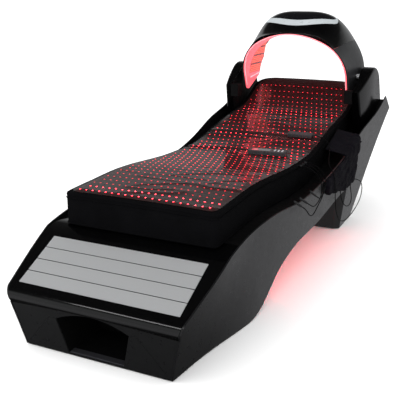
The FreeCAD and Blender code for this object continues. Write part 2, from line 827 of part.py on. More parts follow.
def tower_block():
    """Matt block at the right tower's front corner, with a slot under it."""
    back = BLOCK_FRONT + BLOCK_DEPTH
    block = side_prism(
        BLOCK_REACH, TOWER_INNER - SEAT_GAP, (BLOCK_FRONT + 2.0, BLOCK_LOW), [(BLOCK_FRONT, BLOCK_TOP)],
        [(back, BLOCK_TOP)], [(back + 6.0, BLOCK_LOW)],
    )
    rim = [e for e in block.Edges if e.BoundBox.ZMin > BLOCK_TOP - 0.1 or e.BoundBox.XMax < BLOCK_REACH + 0.1]
    return block.makeFillet(3.0, rim)


def release_button():
    """Press plate in the right tower's outer wall, with a lip behind the wall."""
    face = button_outline(TOWER_OUTER - TOWER_WALL - 2.0, TOWER_OUTER - 0.6, 0.0)
    lip_out = TOWER_OUTER - TOWER_WALL - 0.4
    lip = button_outline(lip_out - 3.0, lip_out, 3.0)
    return fuse([face, lip])


def arch_wire(y, half, low, spring, top):
    """Arch outline: straight legs, round shoulders and a flatter crown, each tangent to the next."""
    rise = top - spring
    shoulder = 0.9 * rise
    inward = half - shoulder
    crown = (inward ** 2 + rise ** 2 - shoulder ** 2) / (2 * (rise - shoulder))
    turn = math.atan2(crown - rise, inward)
    meet_x = inward + shoulder * math.cos(turn)
    meet_z = spring + shoulder * math.sin(turn)
    bend_x = inward + shoulder * math.cos(turn / 2)
    bend_z = spring + shoulder * math.sin(turn / 2)
    return wire(
        in_front(y), (half, low), [(half, spring)], [(bend_x, bend_z), (meet_x, meet_z)],
        [(0.0, top), (-meet_x, meet_z)], [(-bend_x, bend_z), (-half, spring)], [(-half, low)],
    )


# Hood's outer form along the bed: Y from the head of the bridge, half width lost, height lost
HOOD_STATIONS = [
    (205.0, 30.0, 92.0),
    (320.0, 28.0, 64.0),
    (430.0, 14.0, 0.0),
    (520.0, 0.0, 12.0),
    (620.0, 12.0, 46.0),
]
# Its cross section from leg to crown: shares of the half width and of the rise
HOOD_SECTION = [(0.958, 0.27), (0.77, 0.66), (0.585, 0.885), (0.39, 0.972)]


def crown_wire(y, half, top):
    """Outer outline of the hood: straight legs and a full, flat-topped crown in one smooth line."""
    rise = top - HOOD_SPRING
    leg = [(half, HOOD_LEG_END), (half, HOOD_SPRING - 60.0), (half, HOOD_SPRING)]
    right = leg + [(half * wide, HOOD_SPRING + rise * high) for wide, high in HOOD_SECTION]
    left = [(-x, z) for x, z in reversed(right)]
    return wire(in_front(y), right[0], right[1:] + [(0.0, top)] + left)


def hood_form(inset):
    """Hood's outer form drawn in by inset: close to the liner at the front, swelling behind it."""
    sections = [
        crown_wire(HEAD + y, HOOD_HALF - narrow - inset, HOOD_TOP - drop - inset)
        for y, narrow, drop in HOOD_STATIONS
    ]
    return Part.makeLoft(sections, True, False)


def hood_front(z):
    """Point of the hood's raked front edge in a side view."""
    return (HOOD_FRONT - HOOD_RAKE * (z - HOOD_SPRING), z)


def hood_side_wire(x):
    """Hood's outline from the side: forward-leaning front edge, upright back, rounded leg tips."""
    tip = hood_front(622.0)
    above = HOOD_TOP + 56.0
    return wire(
        in_side(x), tip, [hood_front(above)], [(HEAD + 600.0, above)], [(HEAD + 598.0, 940.0)],
        [(HEAD + 592.0, 820.0), (HEAD + 562.0, 710.0)], [(HEAD + 547.0, 676.0), (HEAD + 518.0, 660.0)],
        [(HEAD + 402.0, 614.0)], [(HEAD + 379.0, 611.5), tip],
    )


def hood_side_prism(inset):
    return flat_face(hood_side_wire(-FAR), inset).extrude(V(2 * FAR, 0, 0))


def arch_prism(grow):
    """The hood's inner opening, grown by grow."""
    outline = arch_wire(HEAD, HOOD_INNER_HALF + grow, 500.0, HOOD_SPRING, HOOD_INNER_TOP + grow)
    return Part.Face(outline).extrude(V(0, HEAD_LENGTH, 0))


def hood_liner():
    """Lit lining of the arch, as deep as the legs and narrow under the crown."""
    return arch_prism(LINER_THICKNESS).cut(arch_prism(0.0)).common(HOOD_PROFILE).cut(scoop_prism(0.0))


def crown_wedge(gap):
    """Everything above the two slanting seams between the crown and the side shells."""
    slope = math.tan(math.radians(HOOD_SEAM_ANGLE))
    rise = gap / math.cos(math.radians(HOOD_SEAM_ANGLE))
    base = HOOD_SPRING + rise
    return front_prism(
        HEAD, LENGTH, (0.0, base), [(FAR, base + FAR * slope)], [(FAR, 3 * FAR)], [(-FAR, 3 * FAR)],
        [(-FAR, base + FAR * slope)],
    )


def ellipse_prism(half_x, half_y, y, z0):
    shape = Part.Ellipse(V(0, y, z0), max(half_x, half_y), min(half_x, half_y)).toShape()
    return Part.Face(Part.Wire([shape])).extrude(V(0, 0, FAR))


SCREEN_Y = HEAD + 428.0
BEZEL_HALF_X = 194.0
BEZEL_HALF_Y = 109.0
SCREEN_HALF_X = 178.0
SCREEN_HALF_Y = 88.0
SCREEN_SHIFT = 13.0
SCREEN_BASE = HOOD_INNER_TOP + LINER_THICKNESS + 4.0
BOARD_THICKNESS = 1.6
HOOD_OUTER_FORM = hood_form(0.0)
HOOD_INNER_FORM = hood_form(HOOD_WALL)
HOOD_PROFILE = hood_side_prism(0.0)


def bezel_prism(grow):
    return ellipse_prism(BEZEL_HALF_X + grow, BEZEL_HALF_Y + grow, SCREEN_Y, SCREEN_BASE)


def screen_prism(grow):
    y = SCREEN_Y + SCREEN_SHIFT
    return ellipse_prism(SCREEN_HALF_X + grow, SCREEN_HALF_Y + grow, y, SCREEN_BASE)


def scoop_prism(grow):
    """Hollow under the crown's back: the legs' back edges run forwards into its ceiling."""
    back = LENGTH - 90.0
    legs = [(594.0, 746.0), (539.0, 807.0), (401.0, 868.0)]
    edge = [(HEAD + y - 0.6 * grow, z - 0.8 * grow) for y, z in legs]
    tip = (HEAD + 320.0 - 2.6 * grow, HOOD_INNER_TOP - 4.0)
    outline = wire(in_side(-FAR), (back, 746.0 - grow), edge[:1], edge[1:] + [tip], [(back, 985.0 + grow)])
    return Part.Face(outline).extrude(V(2 * FAR, 0, 0))


def scoop(grow):
    return scoop_prism(grow).common(hood_form(SCOOP_SKIN - grow))


def hood_shell():
    """Hood's outer skin with front and back walls, open towards the liner, scooped under its back."""
    ring = HOOD_OUTER_FORM.common(HOOD_PROFILE).cut(arch_prism(LINER_THICKNESS + SEAT_GAP)).cut(scoop(0.0))
    hollow = HOOD_INNER_FORM.common(hood_side_prism(HOOD_WALL)).cut(scoop(HOOD_WALL))
    return ring.cut(hollow)


HOOD_SHELL = hood_shell()


def hood_crown():
    """Crown of the shell with the hole for the bezel through its skin."""
    hole = bezel_prism(SEAT_GAP).cut(hood_form(HOOD_WALL + SEAT_GAP))
    return HOOD_SHELL.common(crown_wedge(SEAM / 2)).cut(hole)


def hood_side():
    """Right side shell with the boss that holds the pivot shaft."""
    side = HOOD_SHELL.cut(crown_wedge(-SEAM / 2)).common(box(0.0, FAR, HEAD, LENGTH, 0.0, 2 * FAR))
    inner = HOOD_INNER_HALF + LINER_THICKNESS + SEAT_GAP
    boss = across(BOSS_RADIUS, inner, HOOD_HALF, PIVOT_Y, PIVOT_Z).common(HOOD_OUTER_FORM)
    bore = across(SHAFT_RADIUS, inner - 1.0, HOOD_HALF + 5.0, PIVOT_Y, PIVOT_Z)
    return fuse([side, boss]).cut(bore)


def pivot_shaft():
    """Right stub shaft, held in the hood's boss and turning in the tower's bush."""
    inner = HOOD_INNER_HALF + LINER_THICKNESS + 2 * SEAT_GAP
    return across(SHAFT_RADIUS, inner, FRAME_X1 + 6.0, PIVOT_Y, PIVOT_Z)


def hood_led_boards():
    """Curved light boards behind the liner: one in the crown and one in each leg."""
    low = LINER_THICKNESS + SEAT_GAP
    sheet = arch_prism(low + BOARD_THICKNESS).cut(arch_prism(low)).common(hood_side_prism(16.0))
    sheet = sheet.cut(across(BOSS_RADIUS + 3.0, -FAR, FAR, PIVOT_Y, PIVOT_Z))
    sheet = sheet.cut(scoop_prism(HOOD_WALL + SEAT_GAP)).common(hood_form(HOOD_WALL + SEAT_GAP))
    crown = sheet.common(crown_wedge(4.0))
    legs = sheet.cut(crown_wedge(-4.0))
    return Part.makeCompound(crown.Solids + legs.Solids)


def hood_bezel():
    """Bright ring round the screen, widest at the front."""
    cap = HOOD_OUTER_FORM.cut(HOOD_INNER_FORM).common(HOOD_PROFILE)
    return cap.common(bezel_prism(0.0)).cut(screen_prism(SEAT_GAP))


def hood_screen():
    """Dark glass let into the bezel."""
    cap = HOOD_OUTER_FORM.cut(hood_form(HOOD_WALL - 1.0)).common(HOOD_PROFILE)
    return cap.common(screen_prism(0.0))


def hood_control_board():
    """Control board under the screen, standing on the scoop's ceiling."""
    half_x = 70.0
    half_y = 40.0
    leg = 4.0
    y = SCREEN_Y + SCREEN_SHIFT
    low = SCREEN_BASE + 50.0
    base = HOOD_INNER_TOP - 10.0
    board = box(-half_x, half_x, y - half_y, y + half_y, low, low + BOARD_THICKNESS)
    legs = [
        box(x - leg, x + leg, v - leg, v + leg, base, low)
        for x in (-half_x + 6.0, half_x - 6.0) for v in (y - half_y + 6.0, y + half_y - 6.0)
    ]
    return fuse([board] + legs).cut(scoop(HOOD_WALL + SEAT_GAP))


def on_mat(shape, x, y, turn, depth):
    """Sets a piece of some depth, drawn about the origin on Z 0, down on the curved mat."""
    reach = depth / 2
    here = bed_height(y)
    ahead = bed_height(y + reach)
    behind = bed_height(y - reach)
    hollow = max(0.0, (ahead + behind) / 2 - here)
    shape.rotate(V(0, 0, 0), V(0, 0, 1), turn)
    shape.rotate(V(0, 0, 0), V(1, 0, 0), math.degrees(math.atan2(ahead - behind, depth)))
    inner = max(0.0, x - HANDSET_LENGTH / 2)
    shape.translate(V(x, y, here + hollow + COVER_HIGH + crown_lift(inner) + SEAT_GAP))
    return shape


def rounded_slab(length, width, low, high, corner):
    slab = box(-length / 2, length / 2, -width / 2, width / 2, low, high)
    uprights = [e for e in slab.Edges if abs(e.BoundBox.ZLength - (high - low)) < 0.01]
    return slab.makeFillet(corner, uprights)


HANDSET_SPLIT = 8.0
DISPLAY_LENGTH = 84.0
KEY_ROWS = 2
KEY_COLUMNS = 3
KEY_PITCH = 17.0
KEYS_X = 34.0


def key_places():
    return [
        (KEYS_X + column * KEY_PITCH, (row - 0.5) * KEY_PITCH)
        for row in range(KEY_ROWS) for column in range(KEY_COLUMNS)
    ]


def handset_slab(inset, low, high):
    """Rounded block in the handset's outline, drawn in by inset."""
    corner = HANDSET_CORNER - inset
    return rounded_slab(HANDSET_LENGTH - 2 * inset, HANDSET_WIDTH - 2 * inset, low, high, corner)


def handset_base():
    base = handset_slab(0.0, 0.0, HANDSET_SPLIT)
    well = handset_slab(HANDSET_WALL, 2.0, HANDSET_SPLIT + 1.0)
    return on_mat(base.cut(well), *HANDSET_SEAT)


def display_slab(grow, low, high):
    half_y = HANDSET_WIDTH / 2 - 12.0
    x0 = -HANDSET_LENGTH / 2 + 16.0
    return box(x0 - grow, x0 + DISPLAY_LENGTH + grow, -half_y - grow, half_y + grow, low, high)


def handset_cover():
    cover = handset_slab(0.0, HANDSET_SPLIT + SEAT_GAP, HANDSET_HEIGHT)
    rim = [e for e in cover.Edges if e.BoundBox.ZMin > HANDSET_HEIGHT - 0.01]
    cover = cover.makeFillet(HANDSET_WALL, rim)
    well = handset_slab(HANDSET_WALL, HANDSET_SPLIT - 1.0, HANDSET_HEIGHT - HANDSET_WALL)
    holes = [
        Part.makeCylinder(KEY_RADIUS + KEY_CLEARANCE, 8.0, V(x, y, HANDSET_HEIGHT - 6.0))
        for x, y in key_places()
    ]
    window = display_slab(SEAT_GAP, HANDSET_HEIGHT - 1.5, HANDSET_HEIGHT + 1.0)
    cover = cover.cut(well).cut(window).cut(Part.makeCompound(holes))
    return on_mat(cover, *HANDSET_SEAT)


def handset_display():
    return on_mat(display_slab(0.0, HANDSET_HEIGHT - 1.5, HANDSET_HEIGHT), *HANDSET_SEAT)


def handset_key(x, y):
    """Round key with a collar that keeps it under the cover."""
    under = HANDSET_HEIGHT - HANDSET_WALL - SEAT_GAP
    cap = Part.makeCylinder(KEY_RADIUS, HANDSET_HEIGHT + KEY_TRAVEL + 0.4 - under, V(x, y, under))
    collar = Part.makeCylinder(KEY_RADIUS + 1.5, 1.2, V(x, y, under - 1.2))
    return on_mat(fuse([cap, collar]), *HANDSET_SEAT)


def junction_box():
    """Slim box on the mat, where its lead comes out."""
    case = rounded_slab(JUNCTION_LENGTH, JUNCTION_DEPTH, 0.0, JUNCTION_HEIGHT, 5.0)
    rim = [e for e in case.Edges if e.BoundBox.ZMin > JUNCTION_HEIGHT - 0.01]
    case = case.makeFillet(4.0, rim)
    return on_mat(case, *JUNCTION_SEAT)


def fairing_height(y):
    return height_on(FAIRING_EDGE, y)


def cord_bag():
    """Soft closed bag: its body hangs outside the right fairing, its flap runs in to the cushion's side."""
    low = [(8.0, 332.0), (16.0, 304.0), (100.0, 276.0), (235.0, 252.0), (400.0, 236.0), (485.0, 246.0)]
    top = [BAG_END - 14.0, FLAP_START + 110.0, FLAP_START]
    top += [BAG_START + 200.0, BAG_START + 100.0, BAG_START + 5.0]
    edge = [(y, fairing_height(y) + 3.0) for y in top]
    body = side_prism(
        HALF + 80.0, BAG_X, edge[-1], [(BAG_START + y - 16.0, z) for y, z in low] + [(BAG_END, 300.0)],
        [edge[0]], edge[1:],
    )
    body = body.cut(body_envelope(-2 * SEAT_GAP))
    run = BAG_END - FLAP_START
    wall_top = fairing_height(FLAP_START)
    rise = fairing_height(BAG_END) - wall_top
    cushion_side = bed_height(FLAP_START) + CUSHION_THICKNESS - 22.0
    tucked = HALF + SEAT_GAP
    out = BAG_X + FLAP_THICKNESS - 2.0
    flap = Part.Face(wire(
        in_front(FLAP_START), (tucked, cushion_side), [(HALF + 85.0, wall_top + 9.0)],
        [(out - 9.0, wall_top + 3.0), (out, wall_top - 20.0)], [(out, wall_top - FLAP_DROP)],
        [(BAG_X - 2.0, wall_top - FLAP_DROP)], [(BAG_X - 2.0, wall_top - 12.0)],
        [(HALF + 92.0, wall_top + 1.0)],
        [(tucked, cushion_side - FLAP_THICKNESS)],
    )).extrude(V(0, run, rise))
    wall_room = side_outline(HALF + 40.0, BAG_X).common(body_envelope(-2 * SEAT_GAP))
    wall_room.translate(V(0, 0, SEAT_GAP))
    return fuse([body, flap.cut(wall_room)])


BAG = cord_bag()


def taper(start, direction, wide, length):
    """Moulded strain relief that narrows to the lead."""
    return Part.makeCone(wide, CORD_DIAMETER / 2 + 0.8, length, start, direction)


def junction_end():
    """Point at the middle of the junction box's right end."""
    middle = Part.Vertex(V(JUNCTION_LENGTH / 2, 0, JUNCTION_HEIGHT / 2))
    return on_mat(middle, *JUNCTION_SEAT).Point


def mat_exit(y):
    """Point on the mat's right edge where a side lead comes out."""
    return V(HALF + SEAT_GAP, y, bed_height(y) + MAT_LOW + MAT_THICKNESS / 2)


# Side leads: where each leaves the mat, and where its plug leans on the fairing's top edge
SIDE_EXITS = [HEAD - 427.0, HEAD - 460.0, HEAD - 394.0]
PLUG_PLACES = [HEAD - 758.0, HEAD - 695.0, HEAD - 582.0]
PLUG_LEANS = [(-0.72, -0.40, 0.57), (-0.72, -0.40, 0.57), (-0.50, -0.60, 0.62)]
PLUG_RUNS = [20.0, 24.0, 22.0]


def plug_point(number, back):
    """Point on a plug's axis, back from where the plug leans on the fairing's outer top edge."""
    y = PLUG_PLACES[number]
    lean = V(*PLUG_LEANS[number]).normalize()
    z = fairing_height(y)
    level = OUTER.common(Part.makeLine(V(0, y, z), V(FAR, y, z)))
    corner = level.Vertexes[-1].Point
    up = V(-lean.x, -lean.y, -lean.z).cross(V(0, 1, 0)).normalize()
    return corner + up * (CONNECTOR_RADIUS + SEAT_GAP + 0.1) - lean * back


def lead_glands():
    """Strain relief at the junction box and moulded exits on the mat's right edge."""
    exits = [taper(mat_exit(y), V(1, 0, 0), 5.0, GROMMET_LENGTH) for y in SIDE_EXITS]
    return Part.makeCompound([taper(junction_end(), V(1, 0, 0), 6.0, GLAND_LENGTH)] + exits)


# Routes of the leads between their ends, points chosen by hand, Y from the foot end
MAT_LEAD_ROUTE = [
    (285.0, 1516.0, 474.0), (312.0, 1506.0, 462.0), (330.0, 1484.0, 442.0), (341.0, 1452.0, 424.0),
    (350.0, 1414.0, 411.0), (360.0, 1374.0, 401.0), (373.0, 1334.0, 393.0), (391.0, 1298.0, 388.0),
    (411.0, 1272.0, 374.0), (424.0, 1256.0, 346.0), (429.0, 1250.0, 310.0), (430.0, 1254.0, 268.0),
    (430.0, 1270.0, 222.0), (430.0, 1300.0, 178.0), (430.0, 1344.0, 142.0), (430.0, 1396.0, 118.0),
    (430.0, 1454.0, 104.0), (430.0, 1512.0, 98.0), (430.0, 1570.0, 98.0), (430.0, 1628.0, 101.0),
    (430.0, 1686.0, 108.0), (430.0, 1740.0, 122.0), (430.0, 1780.0, 146.0), (429.0, 1792.0, 180.0),
    (427.0, 1772.0, 210.0), (422.0, 1738.0, 228.0), (414.0, 1703.0, 240.0), (408.0, 1686.8, 246.0),
]
SIDE_LEAD_ROUTES = [
    [
        (338.0, 1171.0, 421.0), (366.0, 1162.0, 409.0), (392.0, 1144.0, 393.0), (412.0, 1120.0, 371.0),
        (423.0, 1090.0, 348.0), (428.0, 1054.0, 330.0), (429.0, 1014.0, 318.0), (429.5, 976.0, 306.0),
        (429.0, 944.0, 293.0), (427.5, 914.0, 287.0), (424.5, 884.0, 300.0),
    ],
    [
        (338.0, 1138.0, 421.0), (366.0, 1131.0, 408.0), (391.0, 1116.0, 391.0), (410.0, 1095.0, 369.0),
        (420.0, 1068.0, 347.0), (425.0, 1036.0, 331.0), (426.5, 1004.0, 322.0), (426.0, 976.0, 317.5),
        (425.5, 950.0, 317.0),
    ],
    [
        (338.0, 1205.0, 420.0), (366.0, 1199.0, 408.0), (391.0, 1186.0, 391.0), (408.0, 1168.0, 370.0),
        (414.0, 1144.0, 349.0), (415.5, 1120.0, 334.0), (416.0, 1098.0, 324.0), (417.0, 1072.0, 318.0),
    ],
]
BAG_LEAD_ROUTE = [
    (409.0, 1425.0, 252.3), (411.0, 1428.0, 228.0), (416.0, 1440.0, 200.0), (422.0, 1466.0, 174.0),
    (426.0, 1504.0, 158.0), (427.0, 1546.0, 154.0), (425.0, 1584.0, 162.0), (419.0, 1610.0, 182.0),
    (412.0, 1617.0, 208.0), (409.0, 1614.0, 235.2),
]


def cord_tube(name, points):
    """Round lead along straight runs joined by arcs as large as the runs allow."""
    edges = []
    radii = []
    last = points[0]
    for before, here, after in zip(points, points[1:], points[2:]):
        came = (here - before).normalize()
        goes = (after - here).normalize()
        half_turn = came.getAngle(goes) / 2
        reach = 0.45 * min((here - before).Length, (after - here).Length)
        radius = reach / math.tan(half_turn)
        start = here - came * reach
        end = here + goes * reach
        inward = (goes - came).normalize()
        middle = here + inward * (radius / math.cos(half_turn) - radius)
        edges.append(Part.makeLine(last, start))
        edges.append(Part.Arc(start, middle, end).toShape())
        radii.append(round(radius))
        last = end
    edges.append(Part.makeLine(last, points[-1]))
    length = sum(e.Length for e in edges)
    ring = Part.makeCircle(CORD_DIAMETER / 2, points[0], points[1] - points[0])
    tube = Part.Wire(edges).makePipeShell([Part.Wire([ring])], True, False)
    expected = math.pi * CORD_DIAMETER ** 2 / 4 * length
    print(name, "length", round(length), "volume ratio", round(tube.Volume / expected, 4), "radii", radii)
    return tube


def lead_connector(number):
    """Barrel plug on a side lead's free end, leaning on the fairing's top edge."""
    start = plug_point(number, CONNECTOR_OUTSIDE)
    lean = V(*PLUG_LEANS[number]).normalize()
    nose = 6.0
    well = 9.0
    collar = Part.makeCone(CORD_DIAMETER / 2 + 1.0, CONNECTOR_RADIUS, nose, start, lean)
    sleeve = Part.makeCylinder(CONNECTOR_RADIUS, CONNECTOR_LENGTH - nose, start + lean * nose, lean)
    socket = Part.makeCylinder(CONNECTOR_RADIUS - 2.0, well, start + lean * (CONNECTOR_LENGTH - well), lean)
    return fuse([collar, sleeve]).cut(socket)


def mat_lead():
    start = junction_end() + V(GLAND_LENGTH + SEAT_GAP, 0, 0)
    return cord_tube("mat_lead", [start] + [V(*p) for p in MAT_LEAD_ROUTE]).cut(BAG)


def side_lead(number):
    start = mat_exit(SIDE_EXITS[number]) + V(GROMMET_LENGTH + SEAT_GAP, 0, 0)
    ends = [plug_point(number, CONNECTOR_OUTSIDE + PLUG_RUNS[number]), plug_point(number, CONNECTOR_OUTSIDE)]
    route = [V(*p) for p in SIDE_LEAD_ROUTES[number]]
    return cord_tube("side_lead_" + str(number + 1), [start] + route + ends)


def bag_lead():
    return cord_tube("bag_lead", [V(*p) for p in BAG_LEAD_ROUTE]).cut(BAG)


def lead_connectors():
    return Part.makeCompound([lead_connector(n) for n in range(len(PLUG_PLACES))])


NODES = {
    "chassis_frame": chassis_frame,
    "levelling_feet": levelling_feet,
    "bed_tray": bed_tray,
    "side_fairing_right": side_fairing,
    "foot_deck": foot_deck,
    "foot_strips": foot_strips,
    "front_apron": front_apron,
    "front_skirt": front_skirt,
    "toe_recess_liner": toe_recess_liner,
    "threshold_strip": threshold_strip,
    "belly_pan": belly_pan,
    "glow_strips": glow_strips,
    "rear_pedestal": rear_pedestal,
    "head_end_panel": head_end_panel,
    "power_supply": power_supply,
    "power_inlet": power_inlet,
    "cushion": cushion,
    "light_mat": light_mat,
    "mat_led_sheet": mat_led_sheet,
    "mat_cover": mat_cover,
    "tower_shell_right": tower_shell,
    "tower_panel_right": tower_panel,
    "tower_frame_right": tower_frame,
    "tower_block_right": tower_block,
    "release_button_right": release_button,
    "pivot_bushes": pivot_bushes,
    "hood_crown": hood_crown,
    "hood_side_right": hood_side,
    "hood_liner": hood_liner,
    "hood_led_boards": hood_led_boards,
    "hood_bezel": hood_bezel,
    "hood_screen": hood_screen,
    "hood_control_board": hood_control_board,
    "pivot_shaft_right": pivot_shaft,
    "handset_base": handset_base,
    "handset_cover": handset_cover,
    "handset_display": handset_display,
    "junction_box": junction_box,
    "lead_glands": lead_glands,
    "cord_bag": BAG.copy,
    "mat_lead": mat_lead,
    "bag_lead": bag_lead,
    "lead_connectors": lead_connectors,
}


def write(name, shape):
    """Moves a finished piece from the foot end's frame to the middle of the bed and writes it."""
    shape = shape.copy()
    shape.translate(V(0, -LENGTH / 2, 0))
    shape.exportStep(os.path.join("parts", name + ".step"))
    print(name, len(shape.Solids), "solids", shape.isValid(), round(shape.Volume / 1000, 1), "cm3")


def main():
    os.makedirs("parts", exist_ok=True)
    for name, make in NODES.items():
        shape = make()
        write(name, shape)
        if name.endswith("_right"):
            write(name.replace("_right", "_left"), mirrored(shape))
    for number in range(len(SIDE_LEAD_ROUTES)):
        write("side_lead_" + str(number + 1), side_lead(number))
    for number, place in enumerate(key_places(), 1):
        write("handset_key_" + str(number), handset_key(*place))


main()
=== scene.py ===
import math

import bmesh
import bpy
import numpy as np
from bpy.props import FloatProperty, FloatVectorProperty, IntProperty, PointerProperty
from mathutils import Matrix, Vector, noise
from mathutils.bvhtree import BVHTree


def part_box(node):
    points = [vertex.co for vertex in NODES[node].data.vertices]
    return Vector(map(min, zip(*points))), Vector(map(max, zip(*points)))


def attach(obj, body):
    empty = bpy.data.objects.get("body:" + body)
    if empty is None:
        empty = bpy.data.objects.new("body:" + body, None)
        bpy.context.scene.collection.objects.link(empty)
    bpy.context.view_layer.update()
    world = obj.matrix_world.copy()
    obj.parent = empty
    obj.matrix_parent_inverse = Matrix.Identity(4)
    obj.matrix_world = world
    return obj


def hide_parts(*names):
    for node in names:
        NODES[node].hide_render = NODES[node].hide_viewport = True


bl_info = {
    "name": "Red Light Therapy Bed",
    "version": (1, 0, 0),
    "blender": (4, 5, 0),
    "location": "3D View > Sidebar > Light Bed",
    "description": "Soft goods, leads, lights and finishes for the light therapy bed, and its studio",
    "category": "Object",
}

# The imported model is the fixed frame; metres, Y from the foot end to the head end, Z up from the floor
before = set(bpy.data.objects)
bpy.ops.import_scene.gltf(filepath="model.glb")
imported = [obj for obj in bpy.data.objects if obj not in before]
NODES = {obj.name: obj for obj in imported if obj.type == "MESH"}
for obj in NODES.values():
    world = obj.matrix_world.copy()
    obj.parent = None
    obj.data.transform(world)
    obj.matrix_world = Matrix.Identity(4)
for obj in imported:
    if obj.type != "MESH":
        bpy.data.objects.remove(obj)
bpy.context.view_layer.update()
BED = "bed"
HOOD = "hood"


def colour_property(name, description, default):
    return FloatVectorProperty(name=name, description=description, subtype="COLOR", default=default)


def length_property(name, description, default):
    return FloatProperty(name=name, description=description, unit="LENGTH", default=default)


class LightBedColours(bpy.types.PropertyGroup):
    """Finishes a user would change."""

    gloss_black: colour_property(
        "Gloss black", "Deck, towers and the hood's crown", (0.0005, 0.0005, 0.0006))
    panel_grey: colour_property("Panel grey", "Satin side panels and apron", (0.0045, 0.0046, 0.005))
    cloth_black: colour_property("Cloth black", "Cushion and mat", (0.0024, 0.0024, 0.0029))
    strip_metal: colour_property("Strip metal", "Brushed strips on the foot deck", (0.74, 0.75, 0.76))
    light_red: colour_property("Light red", "Lights in the mat and under the bed", (1.0, 0.012, 0.03))
    # Pink of the liner's painted glow, standing in for the hood's red light on it; also the liner's base
    # colour
    liner_pink: colour_property("Liner pink", "Lit lining of the hood", (1.0, 0.13, 0.16))


class LightBedSizes(bpy.types.PropertyGroup):
    """Sizes of the repeated and soft details."""

    light_pitch: length_property("Light pitch", "Spacing of the mat's lights", 0.0268)
    light_radius: length_property("Light radius", "Radius of one light's lens", 0.0034)
    piping_radius: length_property("Piping radius", "Radius of the piping along the mat's edges", 0.003)
    lead_diameter: length_property("Lead diameter", "Diameter of the leads", 0.004)
    wrinkle_height: length_property("Wrinkle height", "Height of the clear cover's wrinkles", 0.007)
    hood_light_rows: IntProperty(
        name="Hood light rows", description="Rows of lights on each leg of the hood", default=19)


# Material helpers


def new_material(name):
    material = bpy.data.materials.new(name)
    material.use_nodes = True
    tree = material.node_tree
    return material, tree, tree.nodes["Principled BSDF"]


def add(tree, kind, **values):
    """Adds a node; values named after an input set it, others set the node's own property."""
    node = tree.nodes.new(kind)
    for key, value in values.items():
        if key in node.inputs:
            node.inputs[key].default_value = value
        else:
            setattr(node, key, value)
    return node


def object_coordinates(tree, scale=(1.0, 1.0, 1.0)):
    place = add(tree, "ShaderNodeTexCoord")
    mapping = add(tree, "ShaderNodeMapping", Scale=scale)
    tree.links.new(place.outputs["Object"], mapping.inputs["Vector"])
    return mapping.outputs["Vector"]


def object_axis(tree, axis):
    """One of the object's own coordinates."""
    split = add(tree, "ShaderNodeSeparateXYZ")
    tree.links.new(object_coordinates(tree), split.inputs[0])
    return split.outputs[axis]


def noise_texture(tree, vector, scale, detail=3.0, roughness=0.5):
    texture = add(tree, "ShaderNodeTexNoise", Scale=scale, Detail=detail, Roughness=roughness)
    tree.links.new(vector, texture.inputs["Vector"])
    return texture.outputs["Fac"]


def ramp(tree, factor, low, high, start=0.3, end=0.7):
    """Maps a stretch of a pattern, from start to end, to a range of values."""
    values = {"From Min": start, "From Max": end, "To Min": low, "To Max": high}
    node = add(tree, "ShaderNodeMapRange", **values)
    tree.links.new(factor, node.inputs["Value"])
    return node.outputs["Result"]


def math_node(tree, operation, first, second):
    """Sum, product or the like of two values, each a number or another node's output."""
    node = add(tree, "ShaderNodeMath", operation=operation)
    for socket, value in zip(node.inputs, (first, second)):
        if isinstance(value, (int, float)):
            socket.default_value = value
        else:
            tree.links.new(value, socket)
    return node.outputs[0]


def colour_ramp(tree, factor, stops):
    node = add(tree, "ShaderNodeValToRGB")
    elements = node.color_ramp.elements
    while len(elements) < len(stops):
        elements.new(0.5)
    for element, (place, colour) in zip(elements, stops):
        element.position = place
        element.color = (*colour, 1.0)
    tree.links.new(factor, node.inputs["Fac"])
    return node.outputs["Color"]


def bump(tree, shader, height, strength, distance, edge=0.0):
    """Fine relief, over edges that are rounded by a small radius."""
    node = add(tree, "ShaderNodeBump", Strength=strength, Distance=distance)
    tree.links.new(height, node.inputs["Height"])
    if edge:
        rounded = add(tree, "ShaderNodeBevel", Radius=edge, samples=4)
        tree.links.new(rounded.outputs["Normal"], node.inputs["Normal"])
    tree.links.new(node.outputs["Normal"], shader.inputs["Normal"])


def mix_colours(tree, factor, first, second):
    node = add(tree, "ShaderNodeMix", data_type="RGBA")
    node.inputs[6].default_value = (*first, 1.0)
    node.inputs[7].default_value = (*second, 1.0)
    tree.links.new(factor, node.inputs[0])
    return node.outputs[2]


def two_tone(tree, shader, pattern, first, second):
    """Colours the shader between two tones by a pattern."""
    tree.links.new(mix_colours(tree, pattern, first, second), shader.inputs["Base Color"])


def vary(tree, shader, name, pattern, low, high):
    """Varies one of the shader's numbers by a pattern."""
    tree.links.new(ramp(tree, pattern, low, high), shader.inputs[name])


def lighter(colour, amount):
    return tuple(min(1.0, c * amount) for c in colour)


def set_socket(material, name, value):
    """Sets one of the shader's own numbers."""
    material.node_tree.nodes["Principled BSDF"].inputs[name].default_value = value


def moulded(name, colour, roughness, grain, grain_height, edge=0.0015, coat=0.0):
    """Moulded plastic or lacquer: slight cloudiness, a fine grain and soft edges."""
    material, tree, shader = new_material(name)
    where = object_coordinates(tree)
    cloud = noise_texture(tree, where, 7.0, 4.0)
    two_tone(tree, shader, cloud, lighter(colour, 0.8), lighter(colour, 1.2))
    dust = noise_texture(tree, where, 45.0, 5.0, 0.65)
    vary(tree, shader, "Roughness", dust, roughness * 0.85, roughness * 1.2)
    bump(tree, shader, noise_texture(tree, where, grain, 2.0), 0.25, grain_height, edge)
    shader.inputs["Coat Weight"].default_value = coat
    shader.inputs["Coat Roughness"].default_value = 0.04
    return material


